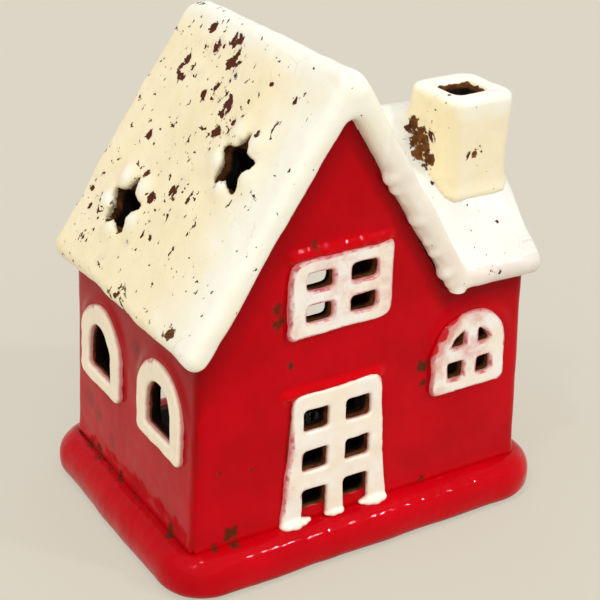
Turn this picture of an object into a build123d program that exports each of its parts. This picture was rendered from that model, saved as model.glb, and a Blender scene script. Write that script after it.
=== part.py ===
from build123d import *
import os
from math import atan, cos, radians, sin, tan

# Tealight house: a glazed earthenware cottage luted together from clay slabs, and the tealight inside it.
# The origin is under the middle of the plinth, +Z is up and the gable with the door faces -Y.
# Sizes are in millimetres, angles in degrees. Heights of walls and windows are measured from the floor.

# Plinth, whose top is the floor and whose rim stands out all round the walls
plinth_side_ledge = 7.7
plinth_end_ledge = 7.8
plinth_height = 12.0
plinth_corner = 15.0
plinth_edge = 6.5
plinth_foot = 3.5

# Walls: the front and back stand upright, the two sides lean in
wall_width = 107.6
wall_depth = 75.4
wall_thick = 3.4
wall_lean = 2.5
wall_corner = 2.0
left_wall_height = 56.2
front_wall_height = 60.2

# Main roof, with its ridge along Y, off the middle
roof_thick = 6.6
ridge_x = -10.25
left_pitch = 56.2
right_pitch = 58.6
ridge_radius = 3.8
attic_radius = 3.0
eave_overhang = 2.6
gable_overhang = 4.6
rim_radius = 2.8
valley_tail = 1.4

# Wing roof, with its ridge along X, over the right half
wing_ridge_y = -2.0
wing_pitch = 44.0
wing_ridge_radius = 8.0
wing_eave_overhang = 4.6
verge_overhang = 2.4
verge_radius = 1.2

# Chimney on the front slope of the wing, flush with its verge
chimney_foot = 20.0
chimney_flare = 1.4
chimney_corner = 3.5
chimney_rise = 14.0
chimney_from_verge = 2.1
chimney_from_ridge = 14.0
chimney_rim = 1.8
flue_size = 10.5
flue_corner = 2.0

# Star cut-outs in the left slope
star_radius = 9.2
star_notch = 4.9
star_tip = 0.5
star_points = 5
star_spread = 18.2
upper_star_drop = 36.7
lower_star_drop = 62.9

# Window and door frames, slabs luted on the walls
frame_relief = 1.8
frame_edge = 0.7
frame_corner = 2.5
pane_corner = 1.0

# Window in the main gable
gable_frame_width = 31.5
gable_frame_height = 22.0
gable_frame_from_attic = 38.4
gable_pane_width = 8.0
gable_pane_height = 5.0
gable_pane_pitch_x = 13.4
gable_pane_pitch_z = 9.1

# Glazed door under it
door_head_width = 27.8
door_foot_width = 34.6
door_waist_width = 30.0
door_height = 40.2
door_pane_width = 7.9
door_pane_height = 6.6
door_pane_pitch_x = 13.3
door_pane_pitch_z = 12.4
door_rows = 3
door_threshold = 3.8

# Arched window on the right of the front wall
arched_from_corner = 20.5
arched_width = 25.0
arched_height = 24.4
arched_from_eave = 7.8
arched_light_width = 14.8
arched_light_height = 14.8
arched_light_rise = 4.1
glazing_bar = 4.6

# Arched windows in the left wall
side_window_spread = 18.6
side_frame_width = 25.4
side_frame_height = 25.0
side_frame_from_eave = 8.0
side_light_width = 14.6
side_light_height = 14.8
side_light_rise = 4.2

# Opening in the back wall, through which the tealight goes in
mouth_x = 5.4
mouth_width = 65.8
mouth_height = 44.0
mouth_corner = 16.0

# Tealight: aluminium cup, wax, wick and the steel disc that holds the wick
tealight_y = 10.0
cup_radius = 19.0
cup_height = 16.0
cup_wall = 0.4
cup_foot_radius = 1.0
cup_bead = 0.6
wax_gap = 0.3
wax_height = 13.0
wax_edge = 0.8
disc_radius = 6.0
disc_thick = 0.4
collar_radius = 1.5
collar_height = 3.5
wick_radius = 0.7
wick_fit = 0.1
wick_stand = 8.0
wick_bend_radius = 9.0
wick_bend = 25.0

# Places that follow from the sizes
plinth_width = wall_width + 2 * plinth_side_ledge
plinth_depth = wall_depth + 2 * plinth_end_ledge
floor_z = plinth_height
front_y = -wall_depth / 2
inner_depth = wall_depth - 2 * wall_thick
foot_x = wall_width / 2
lean = radians(wall_lean)
left_angle = radians(left_pitch)
right_angle = radians(right_pitch)
wing_angle = radians(wing_pitch)


def wall_reach(height):
    """Half the width across the leaning side walls at a height above the floor."""
    return foot_x - height * tan(lean)


attic_rise = left_wall_height + (ridge_x + wall_reach(left_wall_height)) * tan(left_angle)
attic = Vector(ridge_x, floor_z + attic_rise)
wing_rise = front_wall_height + (wing_ridge_y - front_y) * tan(wing_angle)
wing_attic = Vector(wing_ridge_y, floor_z + wing_rise)
wing_back_angle = atan((wing_rise - front_wall_height) / (wall_depth / 2 - wing_ridge_y))
verge_x = wall_reach(front_wall_height) + verge_overhang
gable_frame_sill = attic_rise - gable_frame_from_attic - gable_frame_height
arched_sill = front_wall_height - arched_from_eave - arched_height
side_frame_sill = left_wall_height - side_frame_from_eave - side_frame_height

front_face = Plane(origin=(0, front_y, floor_z), x_dir=(1, 0, 0), z_dir=(0, -1, 0))
back_face = Plane(origin=(0, -front_y, floor_z), x_dir=(-1, 0, 0), z_dir=(0, 1, 0))
left_out = Vector(-cos(lean), 0, sin(lean))
left_face = Plane(origin=(-foot_x, 0, floor_z), x_dir=(0, -1, 0), z_dir=left_out)


def slope_vectors(angle, side):
    """Unit vectors down a slope and square out of it, in the plane of the roof's section."""
    return Vector(side * cos(angle), -sin(angle)), Vector(side * sin(angle), cos(angle))


def crown_point(apex, left, right):
    """Where the two outer faces of a bent slab would meet over its inner apex."""
    left_square = slope_vectors(left, -1)[1]
    right_square = slope_vectors(right, 1)[1]
    return apex + (left_square + right_square) * (roof_thick / (1 + left_square.dot(right_square)))


def eave_length(reach, angle):
    """Length of a slab's underside from the inner apex, when its round eave ends at this reach."""
    half = roof_thick / 2
    return half + (reach - half - half * sin(angle)) / cos(angle)


def roof_section(apex, left, right, left_length, right_length, crown_radius):
    """Section of a bent roof slab with full-round eaves, a rounded ridge and a soft inner corner."""
    crown = crown_point(apex, left, right)
    half = roof_thick / 2
    left_down, left_square = slope_vectors(left, -1)
    right_down, right_square = slope_vectors(right, 1)
    left_in = apex + left_down * (left_length - half)
    right_in = apex + right_down * (right_length - half)
    left_end = left_in + left_square * roof_thick
    right_end = right_in + right_square * roof_thick
    with BuildSketch() as section:
        with BuildLine():
            Polyline(left_end, crown, right_end)
            ThreePointArc(right_end, right_in + right_square * half + right_down * half, right_in)
            Polyline(right_in, apex, left_in)
            ThreePointArc(left_in, left_in + left_square * half + left_down * half, left_end)
        make_face()
        fillet(section.vertices().sort_by_distance(crown)[0], crown_radius)
        fillet(section.vertices().sort_by_distance(apex)[0], attic_radius)
    return section.sketch


def space_section(apex, left, right, apex_radius):
    """The space under a pair of slopes, down to the ground, with a soft corner at its apex."""
    with BuildSketch() as section:
        with BuildLine():
            Polyline(
                (apex.X - apex.Y / tan(left), 0),
                apex,
                (apex.X + apex.Y / tan(right), 0),
                close=True,
            )
        make_face()
        fillet(section.vertices().sort_by(Axis.Y)[-1], apex_radius)
    return section.sketch


def arch(width, height, foot_corner):
    """A round-headed opening or frame that stands on the sketch's origin."""
    half = width / 2
    springing = height - half
    with BuildSketch() as shape:
        with BuildLine():
            Polyline((-half, springing), (-half, 0), (half, 0), (half, springing))
            ThreePointArc((half, springing), (0, height), (-half, springing))
        make_face()
        fillet(shape.vertices().group_by(Axis.Y)[0], foot_corner)
    return shape.sketch


# Spaces under the two roofs, which shape the tops of the walls
with BuildPart() as main_space:
    with BuildSketch(Plane.XZ):
        add(space_section(attic, left_angle, right_angle, attic_radius))
    extrude(amount=plinth_depth, both=True)

with BuildPart() as wing_space:
    with BuildSketch(Plane.YZ.offset(ridge_x)):
        add(space_section(wing_attic, wing_angle, wing_back_angle, attic_radius))
    extrude(amount=plinth_width)

with BuildPart() as under_roof:
    add(main_space.part)
    add(wing_space.part)

# Openings through the front wall and its frames
door_pane_z = door_threshold + ((door_rows - 1) * door_pane_pitch_z + door_pane_height) / 2
arched_x = foot_x - arched_from_corner
front_reach = wall_thick + frame_relief
with BuildPart() as front_panes:
    with BuildSketch(front_face):
        with Locations((ridge_x, gable_frame_sill + gable_frame_height / 2)):
            with GridLocations(gable_pane_pitch_x, gable_pane_pitch_z, 2, 2):
                RectangleRounded(gable_pane_width, gable_pane_height, pane_corner)
        with Locations((ridge_x, door_pane_z)):
            with GridLocations(door_pane_pitch_x, door_pane_pitch_z, 2, door_rows):
                RectangleRounded(door_pane_width, door_pane_height, pane_corner)
    extrude(amount=front_reach, both=True)

arched_light_z = arched_sill + arched_light_rise
bar_z = arched_light_z + (arched_light_height - glazing_bar) / 2
with BuildPart() as arched_panes:
    with BuildSketch(front_face):
        with Locations((arched_x, arched_light_z)):
            add(arch(arched_light_width, arched_light_height, pane_corner))
        with Locations((arched_x, arched_light_z)):
            Rectangle(glazing_bar, arched_light_height, align=(Align.CENTER, Align.MIN), mode=Mode.SUBTRACT)
        with Locations((arched_x, bar_z)):
            Rectangle(arched_light_width, glazing_bar, align=(Align.CENTER, Align.MIN), mode=Mode.SUBTRACT)
    extrude(amount=front_reach, both=True)

# Openings through the left wall and its frames
side_light_z = side_frame_sill + side_light_rise
with BuildPart() as side_lights:
    with BuildSketch(left_face):
        with Locations((-side_window_spread, side_light_z), (side_window_spread, side_light_z)):
            add(arch(side_light_width, side_light_height, pane_corner))
    extrude(amount=front_reach, both=True)

with BuildPart() as plinth:
    with BuildSketch():
        RectangleRounded(plinth_width, plinth_depth, plinth_corner)
    extrude(amount=plinth_height)
    fillet(plinth.edges().group_by(Axis.Z)[0], plinth_foot)
    fillet(plinth.edges().group_by(Axis.Z)[-1], plinth_edge)


def end_wall(face):
    """A gable wall with rounded corners, cut off under the roofs."""
    top = attic_rise + roof_thick
    with BuildPart() as wall:
        with BuildSketch(face):
            with BuildLine():
                Polyline(
                    (-foot_x, 0),
                    (foot_x, 0),
                    (wall_reach(top), top),
                    (-wall_reach(top), top),
                    close=True,
                )
            make_face()
        extrude(amount=-wall_thick)
        outer = wall.faces().sort_by(Axis(face.origin, face.z_dir))[-1].edges().sort_by(Axis.X)
        fillet([outer[0], outer[-1]], wall_corner)
        add(under_roof.part, mode=Mode.INTERSECT)
    return wall.part


def side_wall(side):
    """A leaning wall between the two end walls, on the left (-1) or the right (1)."""
    top = wing_rise + roof_thick
    with BuildPart() as wall:
        with BuildSketch(Plane.XZ):
            with BuildLine():
                Polyline(
                    (side * foot_x, floor_z),
                    (side * wall_reach(top), floor_z + top),
                    (side * (wall_reach(top) - wall_thick), floor_z + top),
                    (side * (foot_x - wall_thick), floor_z),
                    close=True,
                )
            make_face()
        extrude(amount=inner_depth / 2, both=True)
        add(under_roof.part, mode=Mode.INTERSECT)
    return wall.part


with BuildPart() as front_wall:
    add(end_wall(front_face))
    add(front_panes.part, mode=Mode.SUBTRACT)
    add(arched_panes.part, mode=Mode.SUBTRACT)

with BuildPart() as back_wall:
    add(end_wall(back_face))
    with BuildSketch(back_face) as mouth:
        with Locations((-mouth_x, 0)):
            Rectangle(mouth_width, mouth_height, align=(Align.CENTER, Align.MIN))
        fillet(mouth.vertices().group_by(Axis.Y)[-1], mouth_corner)
    extrude(amount=-wall_thick, mode=Mode.SUBTRACT)

with BuildPart() as left_wall:
    add(side_wall(-1))
    add(side_lights.part, mode=Mode.SUBTRACT)

with BuildPart() as right_wall:
    add(side_wall(1))

# Frames: slabs that stand proud of the wall, with every front edge softened
with BuildPart() as gable_window_frame:
    with BuildSketch(front_face):
        with Locations((ridge_x, gable_frame_sill + gable_frame_height / 2)):
            RectangleRounded(gable_frame_width, gable_frame_height, frame_corner)
    extrude(amount=frame_relief)
    add(front_panes.part, mode=Mode.SUBTRACT)
    fillet(gable_window_frame.faces().sort_by(Axis.Y)[0].edges(), frame_edge)

# The door has no bottom rail: its three stiles stand on the plinth and its sides flare towards the floor
with BuildSketch() as door_leaf:
    with BuildLine():
        sill = Line((-door_foot_width / 2, 0), (door_foot_width / 2, 0))
        right_side = ThreePointArc(
            sill @ 1, (door_waist_width / 2, door_height / 2), (door_head_width / 2, door_height)
        )
        head = Line(right_side @ 1, (-door_head_width / 2, door_height))
        ThreePointArc(head @ 1, (-door_waist_width / 2, door_height / 2), sill @ 0)
    make_face()
    fillet(door_leaf.vertices().group_by(Axis.Y)[-1], frame_corner)
    with Locations((0, door_pane_z)):
        with GridLocations(door_pane_pitch_x, door_pane_pitch_z, 2, door_rows):
            RectangleRounded(door_pane_width, door_pane_height, pane_corner, mode=Mode.SUBTRACT)
    with GridLocations(door_pane_pitch_x, 0, 2, 1):
        lower_cut = 2 * (door_threshold + door_pane_height)
        RectangleRounded(door_pane_width, lower_cut, pane_corner, mode=Mode.SUBTRACT)

with BuildPart() as door_frame:
    with BuildSketch(front_face):
        with Locations((ridge_x, 0)):
            add(door_leaf.sketch)
    extrude(amount=frame_relief)
    fillet(door_frame.faces().sort_by(Axis.Y)[0].edges(), frame_edge)

with BuildPart() as arched_window_frame:
    with BuildSketch(front_face):
        with Locations((arched_x, arched_sill)):
            add(arch(arched_width, arched_height, frame_corner))
    extrude(amount=frame_relief)
    add(arched_panes.part, mode=Mode.SUBTRACT)
    fillet(arched_window_frame.faces().sort_by(Axis.Y)[0].edges(), frame_edge)


def side_frame(along):
    """A round-headed frame on the leaning left wall, at a distance towards the front."""
    with BuildPart() as frame:
        with BuildSketch(left_face):
            with Locations((along, side_frame_sill)):
                add(arch(side_frame_width, side_frame_height, frame_corner))
        extrude(amount=frame_relief)
        add(side_lights.part, mode=Mode.SUBTRACT)
        fillet(frame.faces().sort_by(Axis(left_face.origin, left_out))[-1].edges(), frame_edge)
    return frame.part


with BuildPart() as left_window_frame_front:
    add(side_frame(side_window_spread))

with BuildPart() as left_window_frame_back:
    add(side_frame(-side_window_spread))

# Roofs: each pair of slopes is made bent over its ridge, softened at the rims and then parted
left_length = eave_length(foot_x + eave_overhang + ridge_x, left_angle)
right_length = (attic_rise - front_wall_height + valley_tail) / sin(right_angle)
with BuildPart() as main_roof:
    with BuildSketch(Plane.XZ):
        add(roof_section(attic, left_angle, right_angle, left_length, right_length, ridge_radius))
    extrude(amount=wall_depth / 2 + gable_overhang, both=True)
    rims = main_roof.faces().sort_by(Axis.Y)
    fillet(rims[0].edges() + rims[-1].edges(), rim_radius)

wing_reach = wall_depth / 2 + wing_eave_overhang
front_length = eave_length(wing_ridge_y + wing_reach, wing_angle)
back_length = eave_length(wing_reach - wing_ridge_y, wing_back_angle)
wing_section = roof_section(
    wing_attic, wing_angle, wing_back_angle, front_length, back_length, wing_ridge_radius
)
main_crown = crown_point(attic, left_angle, right_angle)
with BuildPart() as wing_roof:
    with BuildSketch(Plane.YZ.offset(ridge_x)):
        add(wing_section)
    extrude(amount=verge_x - ridge_x)
    fillet(wing_roof.faces().sort_by(Axis.X)[-1].edges(), verge_radius)
    with BuildSketch(Plane.XZ):
        add(space_section(main_crown, left_angle, right_angle, ridge_radius))
    extrude(amount=plinth_depth, both=True, mode=Mode.SUBTRACT)


def five_point_star():
    """A star with one point up and softened tips."""
    step = 180 / star_points
    with BuildSketch() as star:
        with BuildLine():
            corners = [
                Vector(star_notch if i % 2 else star_radius, 0).rotate(Axis.Z, 90 + i * step)
                for i in range(2 * star_points)
            ]
            Polyline(*corners, close=True)
        make_face()
        fillet([v for v in star.vertices() if v.distance_to((0, 0)) > star_notch + star_tip], star_tip)
    return star.sketch


left_square = slope_vectors(left_angle, -1)[1]
left_slope = Plane(
    origin=(main_crown.X, 0, main_crown.Y),
    x_dir=(0, -1, 0),
    z_dir=(left_square.X, 0, left_square.Y),
)
with BuildPart() as main_roof_left:
    add(main_roof.part)
    split(bisect_by=Plane.YZ.offset(ridge_x), keep=Keep.BOTTOM)
    with BuildSketch(left_slope):
        with Locations((star_spread, -upper_star_drop), (-star_spread, -lower_star_drop)):
            add(five_point_star())
    extrude(amount=roof_thick, both=True, mode=Mode.SUBTRACT)

with BuildPart() as main_roof_right:
    add(main_roof.part)
    split(bisect_by=Plane.YZ.offset(ridge_x), keep=Keep.TOP)
    add(wing_space.part, mode=Mode.SUBTRACT)

with BuildPart() as wing_roof_back:
    add(wing_roof.part)
    split(bisect_by=Plane.XZ.offset(-wing_ridge_y), keep=Keep.BOTTOM)

# Chimney: a flared square pot cut to the slope it stands on, with its flue open to the attic
chimney_x = verge_x - chimney_from_verge - chimney_foot / 2
chimney_y = wing_ridge_y - chimney_from_ridge
chimney_top = wing_attic.Y + chimney_rise
chimney_base = wing_attic.Y - (chimney_from_ridge + chimney_foot / 2) * tan(wing_angle) - roof_thick
chimney_tall = chimney_top - chimney_base
wing_crown = crown_point(wing_attic, wing_angle, wing_back_angle)
with BuildPart() as flue:
    with BuildSketch(Plane.XY.offset(chimney_base)):
        with Locations((chimney_x, chimney_y)):
            RectangleRounded(flue_size, flue_size, flue_corner)
    extrude(amount=chimney_tall)

with BuildPart() as wing_roof_front:
    add(wing_roof.part)
    split(bisect_by=Plane.XZ.offset(-wing_ridge_y), keep=Keep.TOP)
    add(flue.part, mode=Mode.SUBTRACT)

with BuildPart() as chimney:
    with BuildSketch(Plane.XY.offset(chimney_base)):
        with Locations((chimney_x, chimney_y)):
            RectangleRounded(chimney_foot, chimney_foot, chimney_corner)
    extrude(amount=chimney_tall, taper=-chimney_flare)
    add(flue.part, mode=Mode.SUBTRACT)
    fillet(chimney.faces().sort_by(Axis.Z)[-1].edges(), chimney_rim)
    with BuildSketch(Plane.YZ.offset(ridge_x)):
        add(space_section(wing_crown, wing_angle, wing_back_angle, wing_ridge_radius))
    extrude(amount=plinth_width, mode=Mode.SUBTRACT)

# Tealight, turned about its own axis on the floor behind the door
tealight_section = Plane(origin=(mouth_x, tealight_y, floor_z), x_dir=(1, 0, 0), z_dir=(0, -1, 0))
tealight_axis = Axis((mouth_x, tealight_y, floor_z), (0, 0, 1))
wax_radius = cup_radius - cup_wall - wax_gap
disc_z = cup_wall
collar_z = disc_z + disc_thick
collar_top = collar_z + collar_height
bore_radius = wick_radius + wick_fit

with BuildPart() as tealight_cup:
    with BuildSketch(tealight_section) as cup_profile:
        with BuildLine():
            Polyline(
                (0, 0),
                (cup_radius, 0),
                (cup_radius, cup_height),
                (cup_radius - cup_wall, cup_height),
                (cup_radius - cup_wall, cup_wall),
                (0, cup_wall),
                close=True,
            )
        make_face()
        foot = cup_profile.vertices().group_by(Axis.Y)[0].sort_by(Axis.X)[-1]
        fillet(foot, cup_foot_radius)
        with Locations((cup_radius, cup_height - cup_bead)):
            Circle(cup_bead)
        with Locations((cup_radius - cup_wall, cup_wall)):
            Rectangle(cup_bead, cup_height, align=(Align.MAX, Align.MIN), mode=Mode.SUBTRACT)
    revolve(axis=tealight_axis)

with BuildPart() as wick_sustainer:
    with BuildSketch(tealight_section):
        with BuildLine():
            Polyline(
                (0, disc_z),
                (disc_radius, disc_z),
                (disc_radius, collar_z),
                (collar_radius, collar_z),
                (collar_radius, collar_top),
                (bore_radius, collar_top),
                (bore_radius, collar_z),
                (0, collar_z),
                close=True,
            )
        make_face()
    revolve(axis=tealight_axis)

with BuildPart() as tealight_wax:
    with BuildSketch(tealight_section) as wax_profile:
        with BuildLine():
            Polyline(
                (disc_radius + wick_fit, disc_z),
                (wax_radius, disc_z),
                (wax_radius, disc_z + wax_height),
                (bore_radius, disc_z + wax_height),
                (bore_radius, collar_top),
                (collar_radius + wick_fit, collar_top),
                (collar_radius + wick_fit, collar_z),
                (disc_radius + wick_fit, collar_z),
                close=True,
            )
        make_face()
        rim = wax_profile.vertices().group_by(Axis.Y)[-1].sort_by(Axis.X)[-1]
        fillet(rim, wax_edge)
    revolve(axis=tealight_axis)

with BuildPart() as tealight_wick:
    with BuildLine(tealight_section) as wick_line:
        stem = Line((0, collar_z), (0, disc_z + wax_height + wick_stand / 2))
        JernArc(stem @ 1, stem % 1, wick_bend_radius, wick_bend)
    with BuildSketch(Plane(origin=stem @ 0, z_dir=stem % 0)):
        Circle(wick_radius)
    sweep(path=wick_line.wires()[0])

pieces = {
    "plinth": plinth,
    "front_wall": front_wall,
    "back_wall": back_wall,
    "left_wall": left_wall,
    "right_wall": right_wall,
    "gable_window_frame": gable_window_frame,
    "door_frame": door_frame,
    "arched_window_frame": arched_window_frame,
    "left_window_frame_front": left_window_frame_front,
    "left_window_frame_back": left_window_frame_back,
    "main_roof_left": main_roof_left,
    "main_roof_right": main_roof_right,
    "wing_roof_front": wing_roof_front,
    "wing_roof_back": wing_roof_back,
    "chimney": chimney,
    "tealight_cup": tealight_cup,
    "tealight_wax": tealight_wax,
    "tealight_wick": tealight_wick,
    "wick_sustainer": wick_sustainer,
}
os.makedirs("parts", exist_ok=True)
for name, piece in pieces.items():
    piece.part.label = name
    export_step(piece.part, f"parts/{name}.step")
    print(f"{name}: {piece.part.volume:.0f} cubic mm")
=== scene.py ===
# %% [markdown]
# A tealight house in Blender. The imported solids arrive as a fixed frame, in metres, with every piece at its
# real place. The lesson dresses that frame as a glazed earthenware pot: soft fired edges, glaze that pools
# and crawls, bare clay inside, and a small tealight on the floor.

# %% Load the frame
from math import cos, pi, radians, sin

import bmesh
import bpy
import numpy as np
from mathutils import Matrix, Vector


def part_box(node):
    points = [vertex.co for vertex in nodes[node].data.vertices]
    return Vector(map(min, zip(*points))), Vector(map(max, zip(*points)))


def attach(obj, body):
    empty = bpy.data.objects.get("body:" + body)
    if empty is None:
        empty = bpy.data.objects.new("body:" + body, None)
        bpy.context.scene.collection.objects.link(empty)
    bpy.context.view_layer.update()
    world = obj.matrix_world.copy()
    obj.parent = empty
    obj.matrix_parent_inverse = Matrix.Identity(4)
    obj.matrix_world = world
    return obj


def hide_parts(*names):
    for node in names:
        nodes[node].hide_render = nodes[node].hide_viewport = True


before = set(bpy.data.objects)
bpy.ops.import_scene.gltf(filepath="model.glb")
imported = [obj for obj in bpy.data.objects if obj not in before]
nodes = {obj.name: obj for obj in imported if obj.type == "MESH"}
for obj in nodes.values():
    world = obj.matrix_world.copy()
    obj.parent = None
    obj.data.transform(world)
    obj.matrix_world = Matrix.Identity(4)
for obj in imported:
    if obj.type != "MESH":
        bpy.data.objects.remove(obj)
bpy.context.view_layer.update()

MM = 0.001


def add_object(name, data):
    """A new object in the scene."""
    made = bpy.data.objects.new(name, data)
    bpy.context.scene.collection.objects.link(made)
    return made


# %% [markdown]
# The camera stands where the photographer stood: in front of the left corner, a little above the ridge. A
# long lens keeps the walls almost parallel. Moving a camera by eye seldom matches a photo, so its place and
# turn are numbers, found from the house's corners.

# %% Camera
CAMERA_PLACE = (-201.0, -328.1, 246.5)
CAMERA_TURN = (63.938, -1.274, -30.997)
LENS = 89.56
SENSOR = 36.0

camera_data = bpy.data.cameras.new("camera")
camera_data.lens = LENS
camera_data.sensor_width = SENSOR
camera_data.clip_start = 0.01
camera = add_object("camera", camera_data)
camera.location = [x * MM for x in CAMERA_PLACE]
camera.rotation_euler = [radians(x) for x in CAMERA_TURN]
bpy.context.scene.camera = camera
print("camera lens", camera_data.lens, "mm")

# %% [markdown]
# Node trees are easier to read when a node and its wires are written together, so one small helper adds a
# node, sets it and feeds it. It serves materials and Geometry Nodes alike.

# %% Node helpers
def wire(tree, kind, feeds=None, **settings):
    """Add a node, set its options and feed its inputs with values or with other nodes' sockets."""
    made = tree.nodes.new(kind)
    for name, value in settings.items():
        setattr(made, name, value)
    for key, value in (feeds or {}).items():
        if isinstance(value, bpy.types.NodeSocket):
            tree.links.new(value, made.inputs[key])
        else:
            made.inputs[key].default_value = value
    return made


def sum_of(tree, operation, a, b=0.0, c=0.0, clamp=False):
    """One Math node's result."""
    feeds = {0: a, 1: b, 2: c}
    return wire(tree, "ShaderNodeMath", feeds, operation=operation, use_clamp=clamp).outputs[0]


def times(tree, a, b):
    """Two values multiplied."""
    return sum_of(tree, "MULTIPLY", a, b)


def vector_of(tree, operation, a, b):
    """One Vector Math node's result."""
    return wire(tree, "ShaderNodeVectorMath", {0: a, 1: b}, operation=operation).outputs[0]


def ramp(tree, value, low, high, to_low=0.0, to_high=1.0):
    """A value eased from one range into another, and held at its ends."""
    feeds = {"Value": value, "From Min": low, "From Max": high, "To Min": to_low, "To Max": to_high}
    made = wire(tree, "ShaderNodeMapRange", feeds, interpolation_type="SMOOTHSTEP")
    return made.outputs["Result"]


def blend_colours(tree, share, first, second, how="MIX"):
    """Two colours mixed by a share from 0 to 1."""
    feeds = {0: share, 6: first, 7: second}
    return wire(tree, "ShaderNodeMix", feeds, data_type="RGBA", blend_type=how).outputs[2]


def noise(tree, vector, size, detail=2.0, roughness=0.5, distortion=0.0):
    """Smooth noise with features of about this size in metres, as values from 0 to 1."""
    feeds = {
        "Vector": vector,
        "Scale": 1.0 / size,
        "Detail": detail,
        "Roughness": roughness,
        "Distortion": distortion,
    }
    return wire(tree, "ShaderNodeTexNoise", feeds).outputs[0]


def new_group(name, kind, inputs, outputs):
    """An empty node group, with the sockets where values come in and go out, by their names."""
    tree = bpy.data.node_groups.new(name, kind)
    for label, socket, default in inputs:
        made = tree.interface.new_socket(label, in_out="INPUT", socket_type=socket)
        if default is not None:
            made.default_value = default
    for label, socket in outputs:
        tree.interface.new_socket(label, in_out="OUTPUT", socket_type=socket)
    return tree, tree.nodes.new("NodeGroupInput").outputs, tree.nodes.new("NodeGroupOutput").inputs


print("node helpers ready")

# %% [markdown]
# The stage is a pale floor under a soft sky. Lamps close by would light the floor in patches, so all of
# them are suns. A wide one on the camera's left acts as a large softbox and shapes the walls. Three narrow
# ones add the small sharp highlights that tell a wet glaze from paint. The sky dims overhead, so that white
# faces that look up don't burn out. The floor mixes in a plain glow for the camera and for reflections, and
# keeps the shadow.

# %% Stage and light
FLOOR_COLOUR = (0.630, 0.588, 0.494, 1.0)
BACKGROUND = (0.723, 0.672, 0.565, 1.0)
FLOOR_HALF = 6.0
GLOW_SHARE = 0.66
SKY_LOW = 0.735
SKY_DIMMING = 0.32

floor_mesh = bpy.data.meshes.new("floor")
corners = [(x * FLOOR_HALF, y * FLOOR_HALF, 0.0) for x, y in ((-1, -1), (1, -1), (1, 1), (-1, 1))]
floor_mesh.from_pydata(corners, [], [(0, 1, 2, 3)])
add_object("floor", floor_mesh)

floor_paint = bpy.data.materials.new("floor_paint")
floor_paint.use_nodes = True
floor_tree = floor_paint.node_tree
floor_shader = floor_tree.nodes["Principled BSDF"]
floor_shader.inputs["Base Color"].default_value = FLOOR_COLOUR
floor_shader.inputs["Roughness"].default_value = 0.9
floor_shader.inputs["Specular IOR Level"].default_value = 0.0
glow = wire(floor_tree, "ShaderNodeEmission", {"Color": BACKGROUND, "Strength": 1.0}).outputs[0]
rays = wire(floor_tree, "ShaderNodeLightPath").outputs
seen = sum_of(floor_tree, "ADD", rays["Is Camera Ray"], rays["Is Glossy Ray"])
seen = sum_of(floor_tree, "ADD", seen, rays["Is Transmission Ray"], clamp=True)
share = times(floor_tree, seen, GLOW_SHARE)
toned = wire(floor_tree, "ShaderNodeMixShader", {0: share, 1: floor_shader.outputs[0], 2: glow}).outputs[0]
floor_tree.links.new(toned, floor_tree.nodes["Material Output"].inputs["Surface"])
floor_mesh.materials.append(floor_paint)

world = bpy.data.worlds.new("studio")
world.use_nodes = True
bpy.context.scene.world = world
sky_tree = world.node_tree
sky = sky_tree.nodes["Background"]
sky.inputs["Color"].default_value = (1.0, 1.0, 1.0, 1.0)
toward = wire(sky_tree, "ShaderNodeTexCoord").outputs["Generated"]
height = wire(sky_tree, "ShaderNodeSeparateXYZ", {"Vector": toward}).outputs["Z"]
dim = times(sky_tree, times(sky_tree, height, height), -SKY_DIMMING)
sky_tree.links.new(sum_of(sky_tree, "ADD", dim, SKY_LOW), sky.inputs["Strength"])


def sun(name, toward, strength, spread):
    """A distant lamp in the direction given. A wide spread, in degrees, softens it."""
    data = bpy.data.lights.new(name, "SUN")
    data.energy = strength
    data.angle = radians(spread)
    add_object(name, data).rotation_euler = Vector(toward).to_track_quat("Z", "Y").to_euler()


SUNS = (
    ("soft_sun", (-0.24, -0.36, 0.90), 0.80, 90.0),
    ("right_lamp", (0.46, -0.56, 0.69), 0.60, 3.5),
    ("left_lamp", (-0.50, -0.26, 0.826), 0.32, 3.5),
    ("top_lamp", (-0.15, -0.08, 0.985), 0.40, 4.0),
)
for lamp in SUNS:
    sun(*lamp)
bpy.context.scene.view_settings.view_transform = "Standard"
print("stage: floor, sky and", len(SUNS), "suns")

# %% [markdown]
# A fired pot has no sharp edge: slabs melt together at their seams and the glaze rounds what is left. That
# could be done by hand with many bevels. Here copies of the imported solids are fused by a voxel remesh,
# which turns touching solids into one skin, and a smoothing pass then melts the edges.

# %% Fuse copies of the frame
def points_of(mesh):
    """A mesh's points as an array, one row each."""
    flat = np.empty(len(mesh.vertices) * 3)
    mesh.vertices.foreach_get("co", flat)
    return flat.reshape(-1, 3)


def move_points(made, points):
    """Put the points of an object's mesh where an array says."""
    made.data.vertices.foreach_set("co", points.ravel())
    made.data.update()


def normals_of(mesh):
    """The directions in which a mesh's points face, one row each."""
    flat = np.empty(len(mesh.vertices) * 3)
    mesh.vertex_normals.foreach_get("vector", flat)
    return flat.reshape(-1, 3)


def copy_of(name, *sources):
    """A new object made of welded copies of CAD nodes."""
    joined = bmesh.new()
    for source in sources:
        part = bmesh.new()
        part.from_mesh(nodes[source].data)
        bmesh.ops.remove_doubles(part, verts=part.verts, dist=0.001 * MM)
        mesh = bpy.data.meshes.new("part")
        part.to_mesh(mesh)
        part.free()
        joined.from_mesh(mesh)
        bpy.data.meshes.remove(mesh)
    mesh = bpy.data.meshes.new(name)
    joined.to_mesh(mesh)
    joined.free()
    return add_object(name, mesh)


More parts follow.
